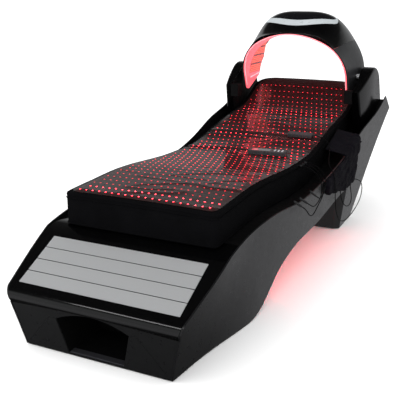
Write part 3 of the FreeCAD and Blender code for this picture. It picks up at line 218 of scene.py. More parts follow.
def brushed(name, colour, roughness, stretch, metal=0.9):
    """Brushed metal with its grain along the stretched direction."""
    material, tree, shader = new_material(name)
    grain = noise_texture(tree, object_coordinates(tree, stretch), 6.0, 6.0, 0.7)
    two_tone(tree, shader, grain, lighter(colour, 0.88), lighter(colour, 1.08))
    vary(tree, shader, "Roughness", grain, roughness * 0.8, roughness * 1.25)
    shader.inputs["Metallic"].default_value = metal
    bump(tree, shader, grain, 0.15, 0.0002, 0.0006)
    return material


def woven(name, colour, thread, sheen=0.0):
    """Woven cloth: crossing threads in relief, with a soft sheen."""
    material, tree, shader = new_material(name)
    where = object_coordinates(tree)
    waves = []
    for direction in ("X", "Y", "Z"):
        wave = add(tree, "ShaderNodeTexWave", Scale=thread, Distortion=1.2, Detail=1.0)
        wave.bands_direction = direction
        tree.links.new(where, wave.inputs["Vector"])
        waves.append(wave.outputs["Fac"])
    threads = math_node(tree, "ADD", math_node(tree, "ADD", waves[0], waves[1]), waves[2])
    wear = noise_texture(tree, where, 9.0, 5.0, 0.6)
    two_tone(tree, shader, wear, lighter(colour, 0.6), lighter(colour, 1.6))
    shader.inputs["Roughness"].default_value = 0.85
    shader.inputs["Sheen Weight"].default_value = sheen
    shader.inputs["Sheen Roughness"].default_value = 0.4
    shader.inputs["Specular IOR Level"].default_value = 0.04
    bump(tree, shader, threads, 0.5, 0.0004)
    return material


def glowing(name, colour, strength, core=None):
    """Glowing plastic: the glow varies a little over the surface. It serves the lamps and also the painted
    glows of the hood's liner and its front rim.
    """
    material, tree, shader = new_material(name)
    cloud = noise_texture(tree, object_coordinates(tree), 60.0, 2.0)
    shader.inputs["Base Color"].default_value = (*lighter(colour, 0.9), 1.0)
    shader.inputs["Roughness"].default_value = 0.35
    tree.links.new(mix_colours(tree, cloud, core or colour, colour), shader.inputs["Emission Color"])
    vary(tree, shader, "Emission Strength", cloud, strength * 0.8, strength * 1.2)
    return material


# Mesh helpers


def placed(name, data):
    """New object in the scene's own collection."""
    thing = bpy.data.objects.new(name, data)
    bpy.context.scene.collection.objects.link(thing)
    return thing


def plain_mesh(carrier, name):
    """Mesh that an object's modifiers or curve settings make; the object itself goes."""
    bpy.context.view_layer.update()
    graph = bpy.context.evaluated_depsgraph_get()
    mesh = bpy.data.meshes.new_from_object(carrier.evaluated_get(graph), depsgraph=graph)
    mesh.name = name
    bpy.data.objects.remove(carrier)
    return mesh


def round_curve(name, kind, points, radius, resolution):
    """Curve of round section through points, and its spline."""
    curve = bpy.data.curves.new(name, "CURVE")
    curve.dimensions = "3D"
    curve.bevel_depth = radius
    curve.bevel_resolution = resolution
    spline = curve.splines.new(kind)
    spline.points.add(len(points) - 1)
    for point, place in zip(spline.points, points):
        point.co = (*place, 1.0)
    return curve, spline


def new_piece(name, mesh, body, material=None):
    piece = placed(name, mesh)
    if material:
        mesh.materials.clear()
        mesh.materials.append(material)
    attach(piece, body)
    return piece


def surface_tree(node):
    """Ray target over a CAD node's triangles."""
    mesh = NODES[node].data
    return BVHTree.FromPolygons([v.co for v in mesh.vertices], [p.vertices for p in mesh.polygons])


def height_at(target, x, y, upwards=False):
    """Place on a surface straight above the floor or below the sky, or None where there is none."""
    start = Vector((x, y, 0.0 if upwards else 2.0))
    direction = Vector((0.0, 0.0, 1.0 if upwards else -1.0))
    return target.ray_cast(start, direction)[0]


def rounded_plan(u, v, half, start, end):
    """Plan place of a square grid's point (u and v from -1 to 1) on a rectangle with rounded corners."""
    corner = HEAD_CORNER if v > 0 else FOOT_CORNER
    middle = (start + end) / 2
    reach = (end - start) / 2
    x = half * u
    y = reach * v
    over_x = abs(x) - (half - corner)
    over_y = abs(y) - (reach - corner)
    if over_x > 0 and over_y > 0:
        a = over_x / corner
        b = over_y / corner
        x = math.copysign(half - corner + corner * a * math.sqrt(1 - b * b / 2), x)
        y = math.copysign(reach - corner + corner * b * math.sqrt(1 - a * a / 2), y)
    return x, middle + y


def apply_finish(names, material):
    for name in names:
        mesh = NODES[name].data
        mesh.materials.clear()
        mesh.materials.append(material)


def both_sides(name):
    return [name + "_left", name + "_right"]


JOIN_DISTANCE = 0.00001
CRISP_ANGLE = math.radians(28.0)


def smooth_shading_tree():
    """Joins a CAD node's loose triangles and shades them smooth up to its crisp edges."""
    tree = bpy.data.node_groups.new("smooth shading", "GeometryNodeTree")
    tree.interface.new_socket("Geometry", in_out="INPUT", socket_type="NodeSocketGeometry")
    tree.interface.new_socket("Geometry", in_out="OUTPUT", socket_type="NodeSocketGeometry")
    link = tree.links.new
    source = add(tree, "NodeGroupInput")
    result = add(tree, "NodeGroupOutput")
    merge = add(tree, "GeometryNodeMergeByDistance", Distance=JOIN_DISTANCE)
    faces = add(tree, "GeometryNodeSetShadeSmooth", domain="FACE")
    edges = add(tree, "GeometryNodeSetShadeSmooth", domain="EDGE")
    edges.inputs["Shade Smooth"].default_value = False
    angle = add(tree, "GeometryNodeInputMeshEdgeAngle")
    crisp = add(tree, "FunctionNodeCompare", data_type="FLOAT", operation="GREATER_THAN")
    crisp.inputs[1].default_value = CRISP_ANGLE
    link(source.outputs[0], merge.inputs["Geometry"])
    link(merge.outputs[0], faces.inputs["Geometry"])
    link(faces.outputs[0], edges.inputs["Geometry"])
    link(angle.outputs["Unsigned Angle"], crisp.inputs[0])
    link(crisp.outputs[0], edges.inputs["Selection"])
    link(edges.outputs[0], result.inputs[0])
    return tree


def shade_shells(names):
    tree = smooth_shading_tree()
    for name in names:
        NODES[name].modifiers.new("smooth shading", "NODES").node_group = tree
        NODES[name].modifiers.new("even shading", "WEIGHTED_NORMAL").keep_sharp = True


def baked(name, tree, values):
    """Runs a node tree by itself, with its inputs set, and gives the plain mesh that it makes."""
    carrier = placed(name, bpy.data.meshes.new(name))
    modifier = carrier.modifiers.new(name, "NODES")
    modifier.node_group = tree
    for socket in tree.interface.items_tree:
        if socket.in_out == "INPUT" and socket.name in values:
            modifier[socket.identifier] = values[socket.name]
    return plain_mesh(carrier, name)


def light_field_tree():
    """Rows of small lenses thrown onto a target along a ray, every second row shifted by half a pitch."""
    tree = bpy.data.node_groups.new("light field", "GeometryNodeTree")
    sockets = {
        "Target": "NodeSocketObject", "Columns": "NodeSocketInt", "Rows": "NodeSocketInt",
        "Group": "NodeSocketInt", "Column Step": "NodeSocketVector", "Row Step": "NodeSocketVector",
        "Origin": "NodeSocketVector", "Ray": "NodeSocketVector", "Radius": "NodeSocketFloat",
        "Squash": "NodeSocketVector", "Stagger": "NodeSocketFloat", "Material": "NodeSocketMaterial",
    }
    for name, kind in sockets.items():
        tree.interface.new_socket(name, in_out="INPUT", socket_type=kind)
    tree.interface.new_socket("Geometry", in_out="OUTPUT", socket_type="NodeSocketGeometry")
    source = add(tree, "NodeGroupInput").outputs
    result = add(tree, "NodeGroupOutput")
    link = tree.links.new

    def scaled(vector, amount):
        node = add(tree, "ShaderNodeVectorMath", operation="SCALE")
        link(vector, node.inputs[0])
        link(amount, node.inputs["Scale"])
        return node.outputs[0]

    def summed(first, second):
        node = add(tree, "ShaderNodeVectorMath", operation="ADD")
        link(first, node.inputs[0])
        link(second, node.inputs[1])
        return node.outputs[0]

    grid = add(tree, "GeometryNodeMeshGrid")
    link(source["Columns"], grid.inputs["Vertices X"])
    link(source["Rows"], grid.inputs["Vertices Y"])
    index = add(tree, "GeometryNodeInputIndex").outputs[0]
    row = math_node(tree, "MODULO", index, source["Rows"])
    rows_done = math_node(tree, "DIVIDE", math_node(tree, "ADD", index, 0.5), source["Rows"])
    column = math_node(tree, "FLOOR", rows_done, 0.0)
    shift = math_node(tree, "MULTIPLY", math_node(tree, "MODULO", row, 2.0), source["Stagger"])
    across = scaled(source["Column Step"], math_node(tree, "ADD", column, shift))
    place = summed(summed(source["Origin"], across), scaled(source["Row Step"], row))
    spread = add(tree, "GeometryNodeSetPosition")
    link(grid.outputs["Mesh"], spread.inputs["Geometry"])
    link(place, spread.inputs["Position"])

    target = add(tree, "GeometryNodeObjectInfo")
    link(source["Target"], target.inputs["Object"])
    throw = add(tree, "GeometryNodeRaycast")
    throw.inputs["Ray Length"].default_value = 5.0
    link(target.outputs["Geometry"], throw.inputs["Target Geometry"])
    link(source["Ray"], throw.inputs["Ray Direction"])
    last = math_node(tree, "SUBTRACT", source["Group"], 1.5)
    barred = math_node(tree, "GREATER_THAN", math_node(tree, "MODULO", row, source["Group"]), last)
    missed = math_node(tree, "SUBTRACT", 1.0, throw.outputs["Is Hit"])
    clear = add(tree, "GeometryNodeDeleteGeometry")
    link(spread.outputs[0], clear.inputs["Geometry"])
    link(math_node(tree, "MAXIMUM", barred, missed), clear.inputs["Selection"])
    seat = add(tree, "GeometryNodeSetPosition")
    link(clear.outputs[0], seat.inputs["Geometry"])
    link(throw.outputs["Hit Position"], seat.inputs["Position"])

    lens = add(tree, "GeometryNodeMeshUVSphere", Segments=8, Rings=6)
    link(source["Radius"], lens.inputs["Radius"])
    facing = add(tree, "ShaderNodeVectorMath", operation="DOT_PRODUCT")
    link(add(tree, "GeometryNodeInputPosition").outputs[0], facing.inputs[0])
    link(source["Ray"], facing.inputs[1])
    outward = math_node(tree, "DIVIDE", facing.outputs["Value"], source["Radius"])
    core = add(tree, "GeometryNodeStoreNamedAttribute", data_type="FLOAT", domain="POINT", Name="core")
    link(lens.outputs["Mesh"], core.inputs["Geometry"])
    link(math_node(tree, "MULTIPLY", outward, -1.0), core.inputs["Value"])
    dots = add(tree, "GeometryNodeInstanceOnPoints")
    link(seat.outputs[0], dots.inputs["Points"])
    link(core.outputs[0], dots.inputs["Instance"])
    link(source["Squash"], dots.inputs["Scale"])
    real = add(tree, "GeometryNodeRealizeInstances")
    smooth = add(tree, "GeometryNodeSetShadeSmooth")
    finish = add(tree, "GeometryNodeSetMaterial")
    link(dots.outputs[0], real.inputs[0])
    link(real.outputs[0], smooth.inputs["Geometry"])
    link(smooth.outputs[0], finish.inputs["Geometry"])
    link(source["Material"], finish.inputs["Material"])
    link(finish.outputs[0], result.inputs[0])
    return tree


# The lying surface: cushion, light mat, its lights and its clear cover


LINE_SAMPLES = 200
LINE_END_GAP = 0.012


def middle_line(node, upwards=False):
    """Height of a node's top, or of its underside, along the middle of the bed."""
    low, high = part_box(node)
    target = surface_tree(node)
    places = np.linspace(low[1] + LINE_END_GAP, high[1] - LINE_END_GAP, LINE_SAMPLES)
    return places, np.array([height_at(target, 0.0, y, upwards).z for y in places])


MAT_LOW, MAT_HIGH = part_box("light_mat")
MAT_HALF = MAT_HIGH[0]
MAT_TOP = middle_line("light_mat")
MAT_UNDER = middle_line("light_mat", True)
MAT_CROWN = 0.004
FOOT_CORNER = 0.022
HEAD_CORNER = 0.105
EDGE_FADE = 0.03
FOOT_DROOP = 0.005
DROOP_LENGTH = 0.042
LIGHT_SHEET_LIFT = 0.0006
COVER_LIFT = 0.0017
FOLD_RIDGE = 0.0030
FOLD_VALLEY = 0.0042
FOLD_WANDER = 0.008
VALLEY_WIDTH = 0.007
RIDGE_OFFSET = 0.024
RIDGE_WIDTH = 0.013
# Folds across the mat: place along the bed, how far they run askew, and how far across they reach
FOLDS = [(0.655, 0.03, 1.0), (0.315, 0.03, 1.0), (0.093, 0.13, 0.25)]


def edge_distance(x, y, half, start, end):
    """How far inside the rounded outline a place lies."""
    corner = HEAD_CORNER if y > (start + end) / 2 else FOOT_CORNER
    from_side = half - abs(x)
    from_end = min(y - start, end - y)
    if from_side < corner and from_end < corner:
        return corner - math.hypot(corner - from_side, corner - from_end)
    return min(from_side, from_end)


def clamped(value):
    """Value held between 0 and 1."""
    return min(1.0, max(0.0, value))


def bell(distance):
    """1 at no distance, falling away to 0 on both sides."""
    return math.exp(-(distance ** 2))


def fold_relief(x, y):
    """Valleys with soft ridges beside them where the mat folds."""
    relief = 0.0
    for place, askew, reach in FOLDS:
        wander = FOLD_WANDER * noise.noise((x * 5.0, place * 9.0, 0.0))
        away = y - place - askew * x - wander
        share = clamped((reach - x / MAT_HALF) * 2.5) if reach < 1.0 else 1.0
        valley = bell(away / VALLEY_WIDTH)
        ridge = bell((abs(away) - RIDGE_OFFSET) / RIDGE_WIDTH)
        relief += share * (FOLD_RIDGE * ridge - FOLD_VALLEY * valley)
    return relief


def crowned(x):
    """How far the crowned surfaces have dropped beside the middle of the bed."""
    return MAT_CROWN * (x / MAT_HALF) ** 2


def mat_height(x, y):
    """Top of the mat, crowned across its width and folded."""
    inside = edge_distance(x, y, MAT_HALF, MAT_LOW[1], MAT_HIGH[1])
    fade = clamped(inside / EDGE_FADE)
    droop = FOOT_DROOP * max(0.0, 1.0 - (y - MAT_LOW[1]) / DROOP_LENGTH) ** 2
    return float(np.interp(y, *MAT_TOP)) - crowned(x) - droop + fade * fold_relief(x, y)


def cushion_top(x, y):
    """Face between the cushion and the mat, crowned like the mat's top."""
    return float(np.interp(y, *MAT_UNDER)) - crowned(x)


def spaced(length, step):
    """Places from 0 to length, close together near both ends."""
    edge = [0.0, 0.0015, 0.004, 0.008]
    inner = 0.014
    count = max(2, round((length - 2 * inner) / step))
    middle = np.linspace(inner, length - inner, count + 1)
    return np.concatenate([edge, middle, length - np.array(edge[::-1])])


def plan_grid(half, start, end, step):
    """Rows of plan places that fill the rounded outline."""
    across = spaced(2 * half, step) / half - 1.0
    along = spaced(end - start, step) * 2 / (end - start) - 1.0
    return [[rounded_plan(u, v, half, start, end) for u in across] for v in along]


def layer(grid, height):
    """Points of one layer over a plan grid."""
    return [(x, y, height(x, y)) for row in grid for x, y in row]


def layer_faces(rows, columns):
    corners = [j * columns + i for j in range(rows - 1) for i in range(columns - 1)]
    return [(a, a + 1, a + columns + 1, a + columns) for a in corners]


def sheet_mesh(name, grid, height):
    """One layer over a plan grid."""
    mesh = bpy.data.meshes.new(name)
    mesh.from_pydata(layer(grid, height), [], layer_faces(len(grid), len(grid[0])))
    mesh.shade_smooth()
    return mesh


def outline_of(grid):
    """Grid places round the outline, anticlockwise, as row and column numbers."""
    rows, columns = len(grid), len(grid[0])
    ring = [(0, i) for i in range(columns)] + [(j, columns - 1) for j in range(1, rows)]
    ring += [(rows - 1, i) for i in range(columns - 2, -1, -1)] + [(j, 0) for j in range(rows - 2, 0, -1)]
    return ring


def outward_at(grid, ring, number):
    before = Vector(grid[ring[number - 1][0]][ring[number - 1][1]])
    after = Vector(grid[ring[(number + 1) % len(ring)][0]][ring[(number + 1) % len(ring)][1]])
    along = (after - before).normalized()
    return Vector((along.y, -along.x))


def pad_mesh(name, grid, top, under, levels, belly):
    """Closed pad: top, underside and a side wall that bellies out between them."""
    rows, columns = len(grid), len(grid[0])
    count = rows * columns
    points = layer(grid, top) + layer(grid, under)
    faces = []
    for face in layer_faces(rows, columns):
        faces.append(face)
        faces.append(tuple(count + corner for corner in reversed(face)))
    ring = outline_of(grid)
    loops = [[count + j * columns + i for j, i in ring]]
    for level in range(1, levels):
        share = level / levels
        loop = []
        for number, (j, i) in enumerate(ring):
            x, y = grid[j][i]
            out = outward_at(grid, ring, number) * belly * math.sin(math.pi * share)
            loop.append(len(points))
            points.append((x + out.x, y + out.y, under(x, y) + share * (top(x, y) - under(x, y))))
        loops.append(loop)
    loops.append([j * columns + i for j, i in ring])
    for low, high in zip(loops, loops[1:]):
        for k in range(len(ring)):
            following = (k + 1) % len(ring)
            faces.append((low[k], low[following], high[following], high[k]))
    mesh = bpy.data.meshes.new(name)
    mesh.from_pydata(points, [], faces)
    mesh.shade_smooth()
    free = {index for loop in loops[1:-1] for index in loop}
    return mesh, free


def piping_mesh(name, grid, height, out, radius):
    """Round piping along the outline, a little outside it."""
    ring = outline_of(grid)
    points = []
    for number, (j, i) in enumerate(ring):
        x, y = grid[j][i]
        away = outward_at(grid, ring, number) * out
        points.append((x + away.x, y + away.y, height(x, y)))
    curve, spline = round_curve(name, "POLY", points, radius, 2)
    spline.use_cyclic_u = True
    mesh = plain_mesh(placed(name, curve), name)
    mesh.shade_smooth()
    return mesh


SWELL_FRAMES = 20
SWELL_PRESSURE = 4.0


def swell(piece, free, most):
    """Blows a pad up with cloth pressure, its top and underside held, and caps how far each point moves."""
    mesh = piece.data
    start = np.empty(len(mesh.vertices) * 3)
    mesh.vertices.foreach_get("co", start)
    start = start.reshape(-1, 3)
    held = piece.vertex_groups.new(name="held")
    held.add([v.index for v in mesh.vertices if v.index not in free], 1.0, "REPLACE")
    cloth = piece.modifiers.new("swelling", "CLOTH")
    cloth.settings.quality = 5
    cloth.settings.use_pressure = True
    cloth.settings.uniform_pressure_force = SWELL_PRESSURE
    cloth.settings.vertex_group_mass = "held"
    cloth.settings.effector_weights.gravity = 0.0
    cloth.point_cache.frame_end = SWELL_FRAMES
    scene = bpy.context.scene
    for step in range(1, SWELL_FRAMES + 1):
        scene.frame_set(step)
    graph = bpy.context.evaluated_depsgraph_get()
    swollen = piece.evaluated_get(graph).data
    moved = np.empty(len(swollen.vertices) * 3)
    swollen.vertices.foreach_get("co", moved)
    move = moved.reshape(-1, 3) - start
    far = np.maximum(np.linalg.norm(move, axis=1, keepdims=True), 1e-9)
    piece.modifiers.remove(cloth)
    piece.vertex_groups.remove(held)
    scene.frame_set(1)
    mesh.vertices.foreach_set("co", (start + move * np.minimum(1.0, most / far)).ravel())
    mesh.update()


# Leads


def lead_curve(name, points, material):
    """Smooth lead through its given points."""
    radius = bpy.context.scene.light_bed_sizes.lead_diameter / 2
    curve, spline = round_curve(name, "NURBS", points, radius, 3)
    curve.resolution_u = 8
    curve.use_fill_caps = True
    spline.order_u = 3
    spline.use_endpoint_u = True
    curve.materials.append(material)
    lead = placed(name, curve)
    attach(lead, BED)
    return lead


MAT_LEAD = [
    (0.2553, 0.3414, 0.4771), (0.285, 0.341, 0.474), (0.312, 0.331, 0.462), (0.330, 0.309, 0.442),
    (0.341, 0.277, 0.424), (0.350, 0.239, 0.411), (0.360, 0.199, 0.401), (0.373, 0.159, 0.393),
    (0.391, 0.123, 0.388), (0.411, 0.097, 0.374), (0.424, 0.081, 0.346), (0.429, 0.075, 0.310),
    (0.430, 0.079, 0.268), (0.430, 0.095, 0.222), (0.430, 0.125, 0.178), (0.430, 0.169, 0.142),
    (0.430, 0.221, 0.118), (0.430, 0.279, 0.104), (0.430, 0.337, 0.098), (0.430, 0.395, 0.098),
    (0.430, 0.453, 0.101), (0.430, 0.511, 0.108), (0.430, 0.565, 0.122), (0.430, 0.605, 0.146),
    (0.429, 0.617, 0.180), (0.427, 0.597, 0.210), (0.422, 0.563, 0.228), (0.414, 0.528, 0.240),
    (0.408, 0.5118, 0.246),
]
SIDE_LEADS = [
    [
        (0.3106, -0.002, 0.4237), (0.338, -0.004, 0.421), (0.366, -0.013, 0.409), (0.392, -0.031, 0.393),
        (0.412, -0.055, 0.371), (0.423, -0.085, 0.348), (0.428, -0.121, 0.330), (0.429, -0.161, 0.318),
        (0.4295, -0.199, 0.306), (0.429, -0.231, 0.293), (0.4275, -0.261, 0.287), (0.4245, -0.291, 0.300),
        (0.4192, -0.3154, 0.3284), (0.4048, -0.3234, 0.3398),
    ],
    [
        (0.3106, -0.035, 0.4243), (0.338, -0.037, 0.421), (0.366, -0.044, 0.408), (0.391, -0.059, 0.391),
        (0.410, -0.080, 0.369), (0.420, -0.107, 0.347), (0.425, -0.139, 0.331), (0.4265, -0.171, 0.322),
        (0.426, -0.199, 0.3175), (0.4255, -0.225, 0.317), (0.4245, -0.2508, 0.3226),
        (0.4073, -0.2604, 0.3362),
    ],
    [
        (0.3106, 0.031, 0.4232), (0.338, 0.030, 0.420), (0.366, 0.024, 0.408), (0.391, 0.011, 0.391),
        (0.408, -0.007, 0.370), (0.414, -0.031, 0.349), (0.4155, -0.055, 0.334), (0.416, -0.077, 0.324),
        (0.417, -0.103, 0.318), (0.4177, -0.1293, 0.3204), (0.4066, -0.1426, 0.3341),
    ],
]
BAG_LEAD = [
    (0.409, 0.250, 0.2523), (0.411, 0.253, 0.228), (0.416, 0.265, 0.200), (0.422, 0.291, 0.174),
    (0.426, 0.329, 0.158), (0.427, 0.371, 0.154), (0.425, 0.409, 0.162), (0.419, 0.435, 0.182),
    (0.412, 0.442, 0.208), (0.409, 0.439, 0.2352),
]
LEAD_LENGTHS = {
    "mat_lead": 1.219, "bag_lead": 0.301, "side_lead_1": 0.447, "side_lead_2": 0.336, "side_lead_3": 0.281,
}


class LIGHTBED_OT_leads(bpy.types.Operator):
    """Leads from the mat and its junction box to their plugs and the bag"""

    bl_idname = "light_bed.leads"
    bl_label = "Leads"

    def execute(self, context):
        sleeve = moulded("lead sleeve", (0.0015, 0.0015, 0.0018), 0.5, 900.0, 0.0001, 0.0)
        set_socket(sleeve, "Specular IOR Level", 0.1)
        routes = {"mat_lead": MAT_LEAD, "bag_lead": BAG_LEAD}
        for number, points in enumerate(SIDE_LEADS, 1):
            routes["side_lead_" + str(number)] = points
        for node, points in routes.items():
            lead = lead_curve(node + "_sleeve", points, sleeve)
            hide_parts(node)
        fittings = moulded("lead fittings", (0.012, 0.012, 0.013), 0.35, 700.0, 0.0001)
        apply_finish(["lead_glands", "lead_connectors"], fittings)
        return {"FINISHED"}


PRESS_MARGIN = 0.006
PRESS_FADE = 0.03
CRUMPLE_REACH = 0.05
PRESSING = [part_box("handset_base"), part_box("junction_box")]
COVER_LOW, COVER_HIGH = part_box("mat_cover")


def under_pieces(x, y):
    """0 under the handset and the junction box, which press the cover flat, rising to 1 away from them."""
    share = 1.0
    for low, high in PRESSING:
        away = max(low[0] - x, x - high[0], low[1] - y, y - high[1], 0.0)
        share = min(share, max(0.0, away - PRESS_MARGIN) / PRESS_FADE)
    return share


def wrinkle(x, y):
    """Height of the clear cover above its seat: broad waves, sharp creases and crumples at folds."""
    broad = noise.noise((x * 2.4, y * 6.5 - x * 1.5, 1.3))
    sharp = 1.0 - abs(noise.noise((x * 3.4, y * 11.0 - x * 3.0, 7.7)))
    fine = 1.0 - abs(noise.noise((x * 24.0 - y * 10.0, y * 40.0, 2.9)))
    near_fold = max(bell((y - place - askew * x) / CRUMPLE_REACH) for place, askew, _ in FOLDS)
    crumpled = max(near_fold, bell((y - MAT_LOW[1]) / CRUMPLE_REACH))
    right = clamped(0.5 + x / MAT_HALF)
    return max(0.0, 0.3 + 0.45 * broad + (0.25 + 0.3 * right) * sharp ** 14 + 0.4 * crumpled * fine ** 7)


def cover_height(x, y):
    """Top of the clear cover, wrinkled except at its edges and under what lies on it."""
    inside = edge_distance(x, y, COVER_HIGH[0], COVER_LOW[1], COVER_HIGH[1])
    fade = clamped(inside / EDGE_FADE)
    rise = bpy.context.scene.light_bed_sizes.wrinkle_height * wrinkle(x, y)
    return mat_height(x, y) + COVER_LIFT + fade * under_pieces(x, y) * rise


class LIGHTBED_OT_cushion(bpy.types.Operator):
    """Foam cushion in black cloth, blown up between piped edges"""

    bl_idname = "light_bed.cushion"
    bl_label = "Cushion"

    margin = 0.004
    gap_above = 0.0006
    gap_below = 0.0008
    grid_step = 0.016
    wall_levels = 9
    belly = 0.001
    most_swell = 0.008
    pucker = 0.0009
    piping_inset = 0.006
    piping_share = 0.8

    def execute(self, context):
        colours = context.scene.light_bed_colours
        low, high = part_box("cushion")
        seat = middle_line("cushion", True)
        margin = self.margin
        grid = plan_grid(high[0] - margin, low[1] + margin, high[1] - margin, self.grid_step)

        def top(x, y):
            return cushion_top(x, y) - self.gap_above

        def under(x, y):
            return float(np.interp(y, *seat)) + self.gap_below

        mesh, free = pad_mesh("cushion_cloth", grid, top, under, self.wall_levels, self.belly)
        cloth = woven("cushion cloth", tuple(colours.cloth_black), 260.0)
        piece = new_piece("cushion_cloth", mesh, BED, cloth)
        swell(piece, free, self.most_swell)
        for vertex in mesh.vertices:
            if vertex.index in free:
                vertex.co += vertex.normal * self.pucker * noise.noise(vertex.co * 24.0)
        subdivision = piece.modifiers.new("rounding", "SUBSURF")
        subdivision.levels = subdivision.render_levels = 1
        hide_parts("cushion")
        radius = context.scene.light_bed_sizes.piping_radius * self.piping_share
        inset = self.piping_inset
        for name, height, lift in (("upper", top, -inset), ("lower", under, inset)):
            def edge(x, y, height=height, lift=lift):
                return height(x, y) + lift
            cord = piping_mesh("cushion_piping_" + name, grid, edge, 0.001, radius)
            new_piece("cushion_piping_" + name, cord, BED, cloth)
        return {"FINISHED"}


class LIGHTBED_OT_light_mat(bpy.types.Operator):
    """Padded light mat with its piped border, light sheet, lights and clear cover"""

    bl_idname = "light_bed.light_mat"
    bl_label = "Light Mat"

    pad_margin = 0.005
    gap_below = 0.0004
    grid_step = 0.012
    edge_roll = 0.0035
    roll_width = 0.004
    cover_inset = 0.008
    cover_step = 0.0052
    # More rows than the mat has, so no row is left out for a dividing bar
    no_bars = 100000
    row_share = 1.7
    side_border = 0.010
    end_borders = 0.045
    first_row = 0.026

    def execute(self, context):
        self.pad(context)
        sheet = self.light_sheet(context)
        self.lights(context, sheet)
        self.cover(context)
        return {"FINISHED"}

    def pad(self, context):
        margin = self.pad_margin
        outline = (MAT_HALF - margin, MAT_LOW[1] + margin, MAT_HIGH[1] - margin)
        grid = plan_grid(*outline, self.grid_step)

        def top(x, y):
            inside = edge_distance(x, y, *outline)
            return mat_height(x, y) - self.edge_roll * bell(inside / self.roll_width)

        def under(x, y):
            return cushion_top(x, y) + self.gap_below

        mesh, _ = pad_mesh("light_mat_pad", grid, top, under, 6, 0.0025)
        cloth = woven("mat cloth", tuple(context.scene.light_bed_colours.cloth_black), 320.0)
        piece = new_piece("light_mat_pad", mesh, BED, cloth)
        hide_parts("light_mat")
        radius = context.scene.light_bed_sizes.piping_radius
        for name, share in (("upper", 0.80), ("lower", 0.22)):
            def edge(x, y, share=share):
                return under(x, y) + share * (top(x, y) - under(x, y))
            cord = piping_mesh("mat_piping_" + name, grid, edge, 0.0012, radius)
            new_piece("mat_piping_" + name, cord, BED, cloth)

    def light_sheet(self, context):
        low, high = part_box("mat_led_sheet")
        grid = plan_grid(high[0], low[1], high[1], self.grid_step)
        mesh = sheet_mesh("mat_light_sheet", grid, lambda x, y: mat_height(x, y) + LIGHT_SHEET_LIFT)
        material, tree, shader = new_material("light sheet")
        where = object_coordinates(tree)
        tracks = noise_texture(tree, where, 60.0, 3.0)
        two_tone(tree, shader, tracks, (0.010, 0.003, 0.003), (0.030, 0.006, 0.006))
        vary(tree, shader, "Roughness", tracks, 0.35, 0.6)
        # Faint red emission across the sheet: a painted glow standing in for the lights' own light spread
        # over it
        shader.inputs["Emission Color"].default_value = (*context.scene.light_bed_colours.light_red, 1.0)
        vary(tree, shader, "Emission Strength", noise_texture(tree, where, 5.0, 3.0), 0.008, 0.03)
        piece = new_piece("mat_light_sheet", mesh, BED, material)
        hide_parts("mat_led_sheet")
        return piece

    def lights(self, context, sheet):
        sizes = context.scene.light_bed_sizes
        pitch = sizes.light_pitch
        low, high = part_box("mat_led_sheet")
        columns = int(2 * (high[0] - self.side_border) / pitch)
        step = pitch * self.row_share
        rows = int((high[1] - low[1] - self.end_borders) / step)
        material = light_lens("mat light", tuple(context.scene.light_bed_colours.light_red), 20.0, True)
        mesh = baked("mat_lights", light_field_tree(), {
            "Target": sheet, "Columns": columns, "Rows": rows, "Group": self.no_bars,
            "Column Step": (pitch, 0.0, 0.0), "Row Step": (0.0, step, 0.0), "Stagger": 0.5,
            "Origin": (-(columns - 0.5) * pitch / 2, low[1] + self.first_row, 2.0), "Ray": (0.0, 0.0, -1.0),
            "Radius": sizes.light_radius, "Squash": (1.0, 1.0, 0.22), "Material": material,
        })
        new_piece("mat_lights", mesh, BED)

    def cover(self, context):
        inset = self.cover_inset
        outline = (COVER_HIGH[0] - inset, COVER_LOW[1] + inset, COVER_HIGH[1] - inset)
        grid = plan_grid(*outline, self.cover_step)
        mesh = sheet_mesh("mat_clear_cover", grid, cover_height)
        material, tree, shader = new_material("clear vinyl")
        haze = noise_texture(tree, object_coordinates(tree), 6.0, 4.0)
        two_tone(tree, shader, haze, (0.005, 0.0055, 0.0055), (0.016, 0.017, 0.0165))
        vary(tree, shader, "Roughness", haze, 0.06, 0.16)
        vary(tree, shader, "Alpha", haze, 0.36, 0.50)
        shader.inputs["IOR"].default_value = 2.3
        ripple = noise_texture(tree, object_coordinates(tree, (0.3, 1.0, 1.0)), 60.0, 2.0)
        bump(tree, shader, ripple, 0.12, 0.0006)
        piece = new_piece("mat_clear_cover", mesh, BED, material)
        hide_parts("mat_cover")


def light_lens(name, colour, strength, banded=False):
    """Lit lens with a pale core; banded ones burn brighter at the foot and where the mat folds."""
    material, tree, shader = new_material(name)
    core = add(tree, "ShaderNodeAttribute", attribute_name="core").outputs["Fac"]
    pale = tuple(0.55 + 0.45 * c for c in colour)
    level = ramp(tree, core, 0.5 * strength, 1.3 * strength, 0.0, 1.0)
    heart = ramp(tree, core, 0.0, 0.25, 0.8, 1.0)
    shader.inputs["Base Color"].default_value = (*lighter(colour, 0.6), 1.0)
    shader.inputs["Roughness"].default_value = 0.3
    if banded:
        along = ramp(tree, object_axis(tree, "Y"), 0.0, 1.0, MAT_LOW[1], MAT_HIGH[1])
        length = MAT_HIGH[1] - MAT_LOW[1]
        stops = [(0.0, 1.0), (0.058, 1.0), (0.068, 0.13)]
        for place, _, _ in sorted(FOLDS):
            middle = (place - MAT_LOW[1]) / length
            stops += [(middle - 0.03, 0.34), (middle, 1.0), (middle + 0.03, 0.34)]
        bands = colour_ramp(tree, along, [(place, (value, value, value)) for place, value in stops])
        level = math_node(tree, "MULTIPLY", level, bands)
        heart = math_node(tree, "MULTIPLY", heart, bands)
    tree.links.new(mix_colours(tree, heart, colour, pale), shader.inputs["Emission Color"])
    tree.links.new(level, shader.inputs["Emission Strength"])
    return material


# The hood's lights


LINER_START = 0.66
LINER_CENTRE = 0.70
LINER_STEP = 0.001
LINER_STEPS = 400
RIM_CLEARANCE = 0.001


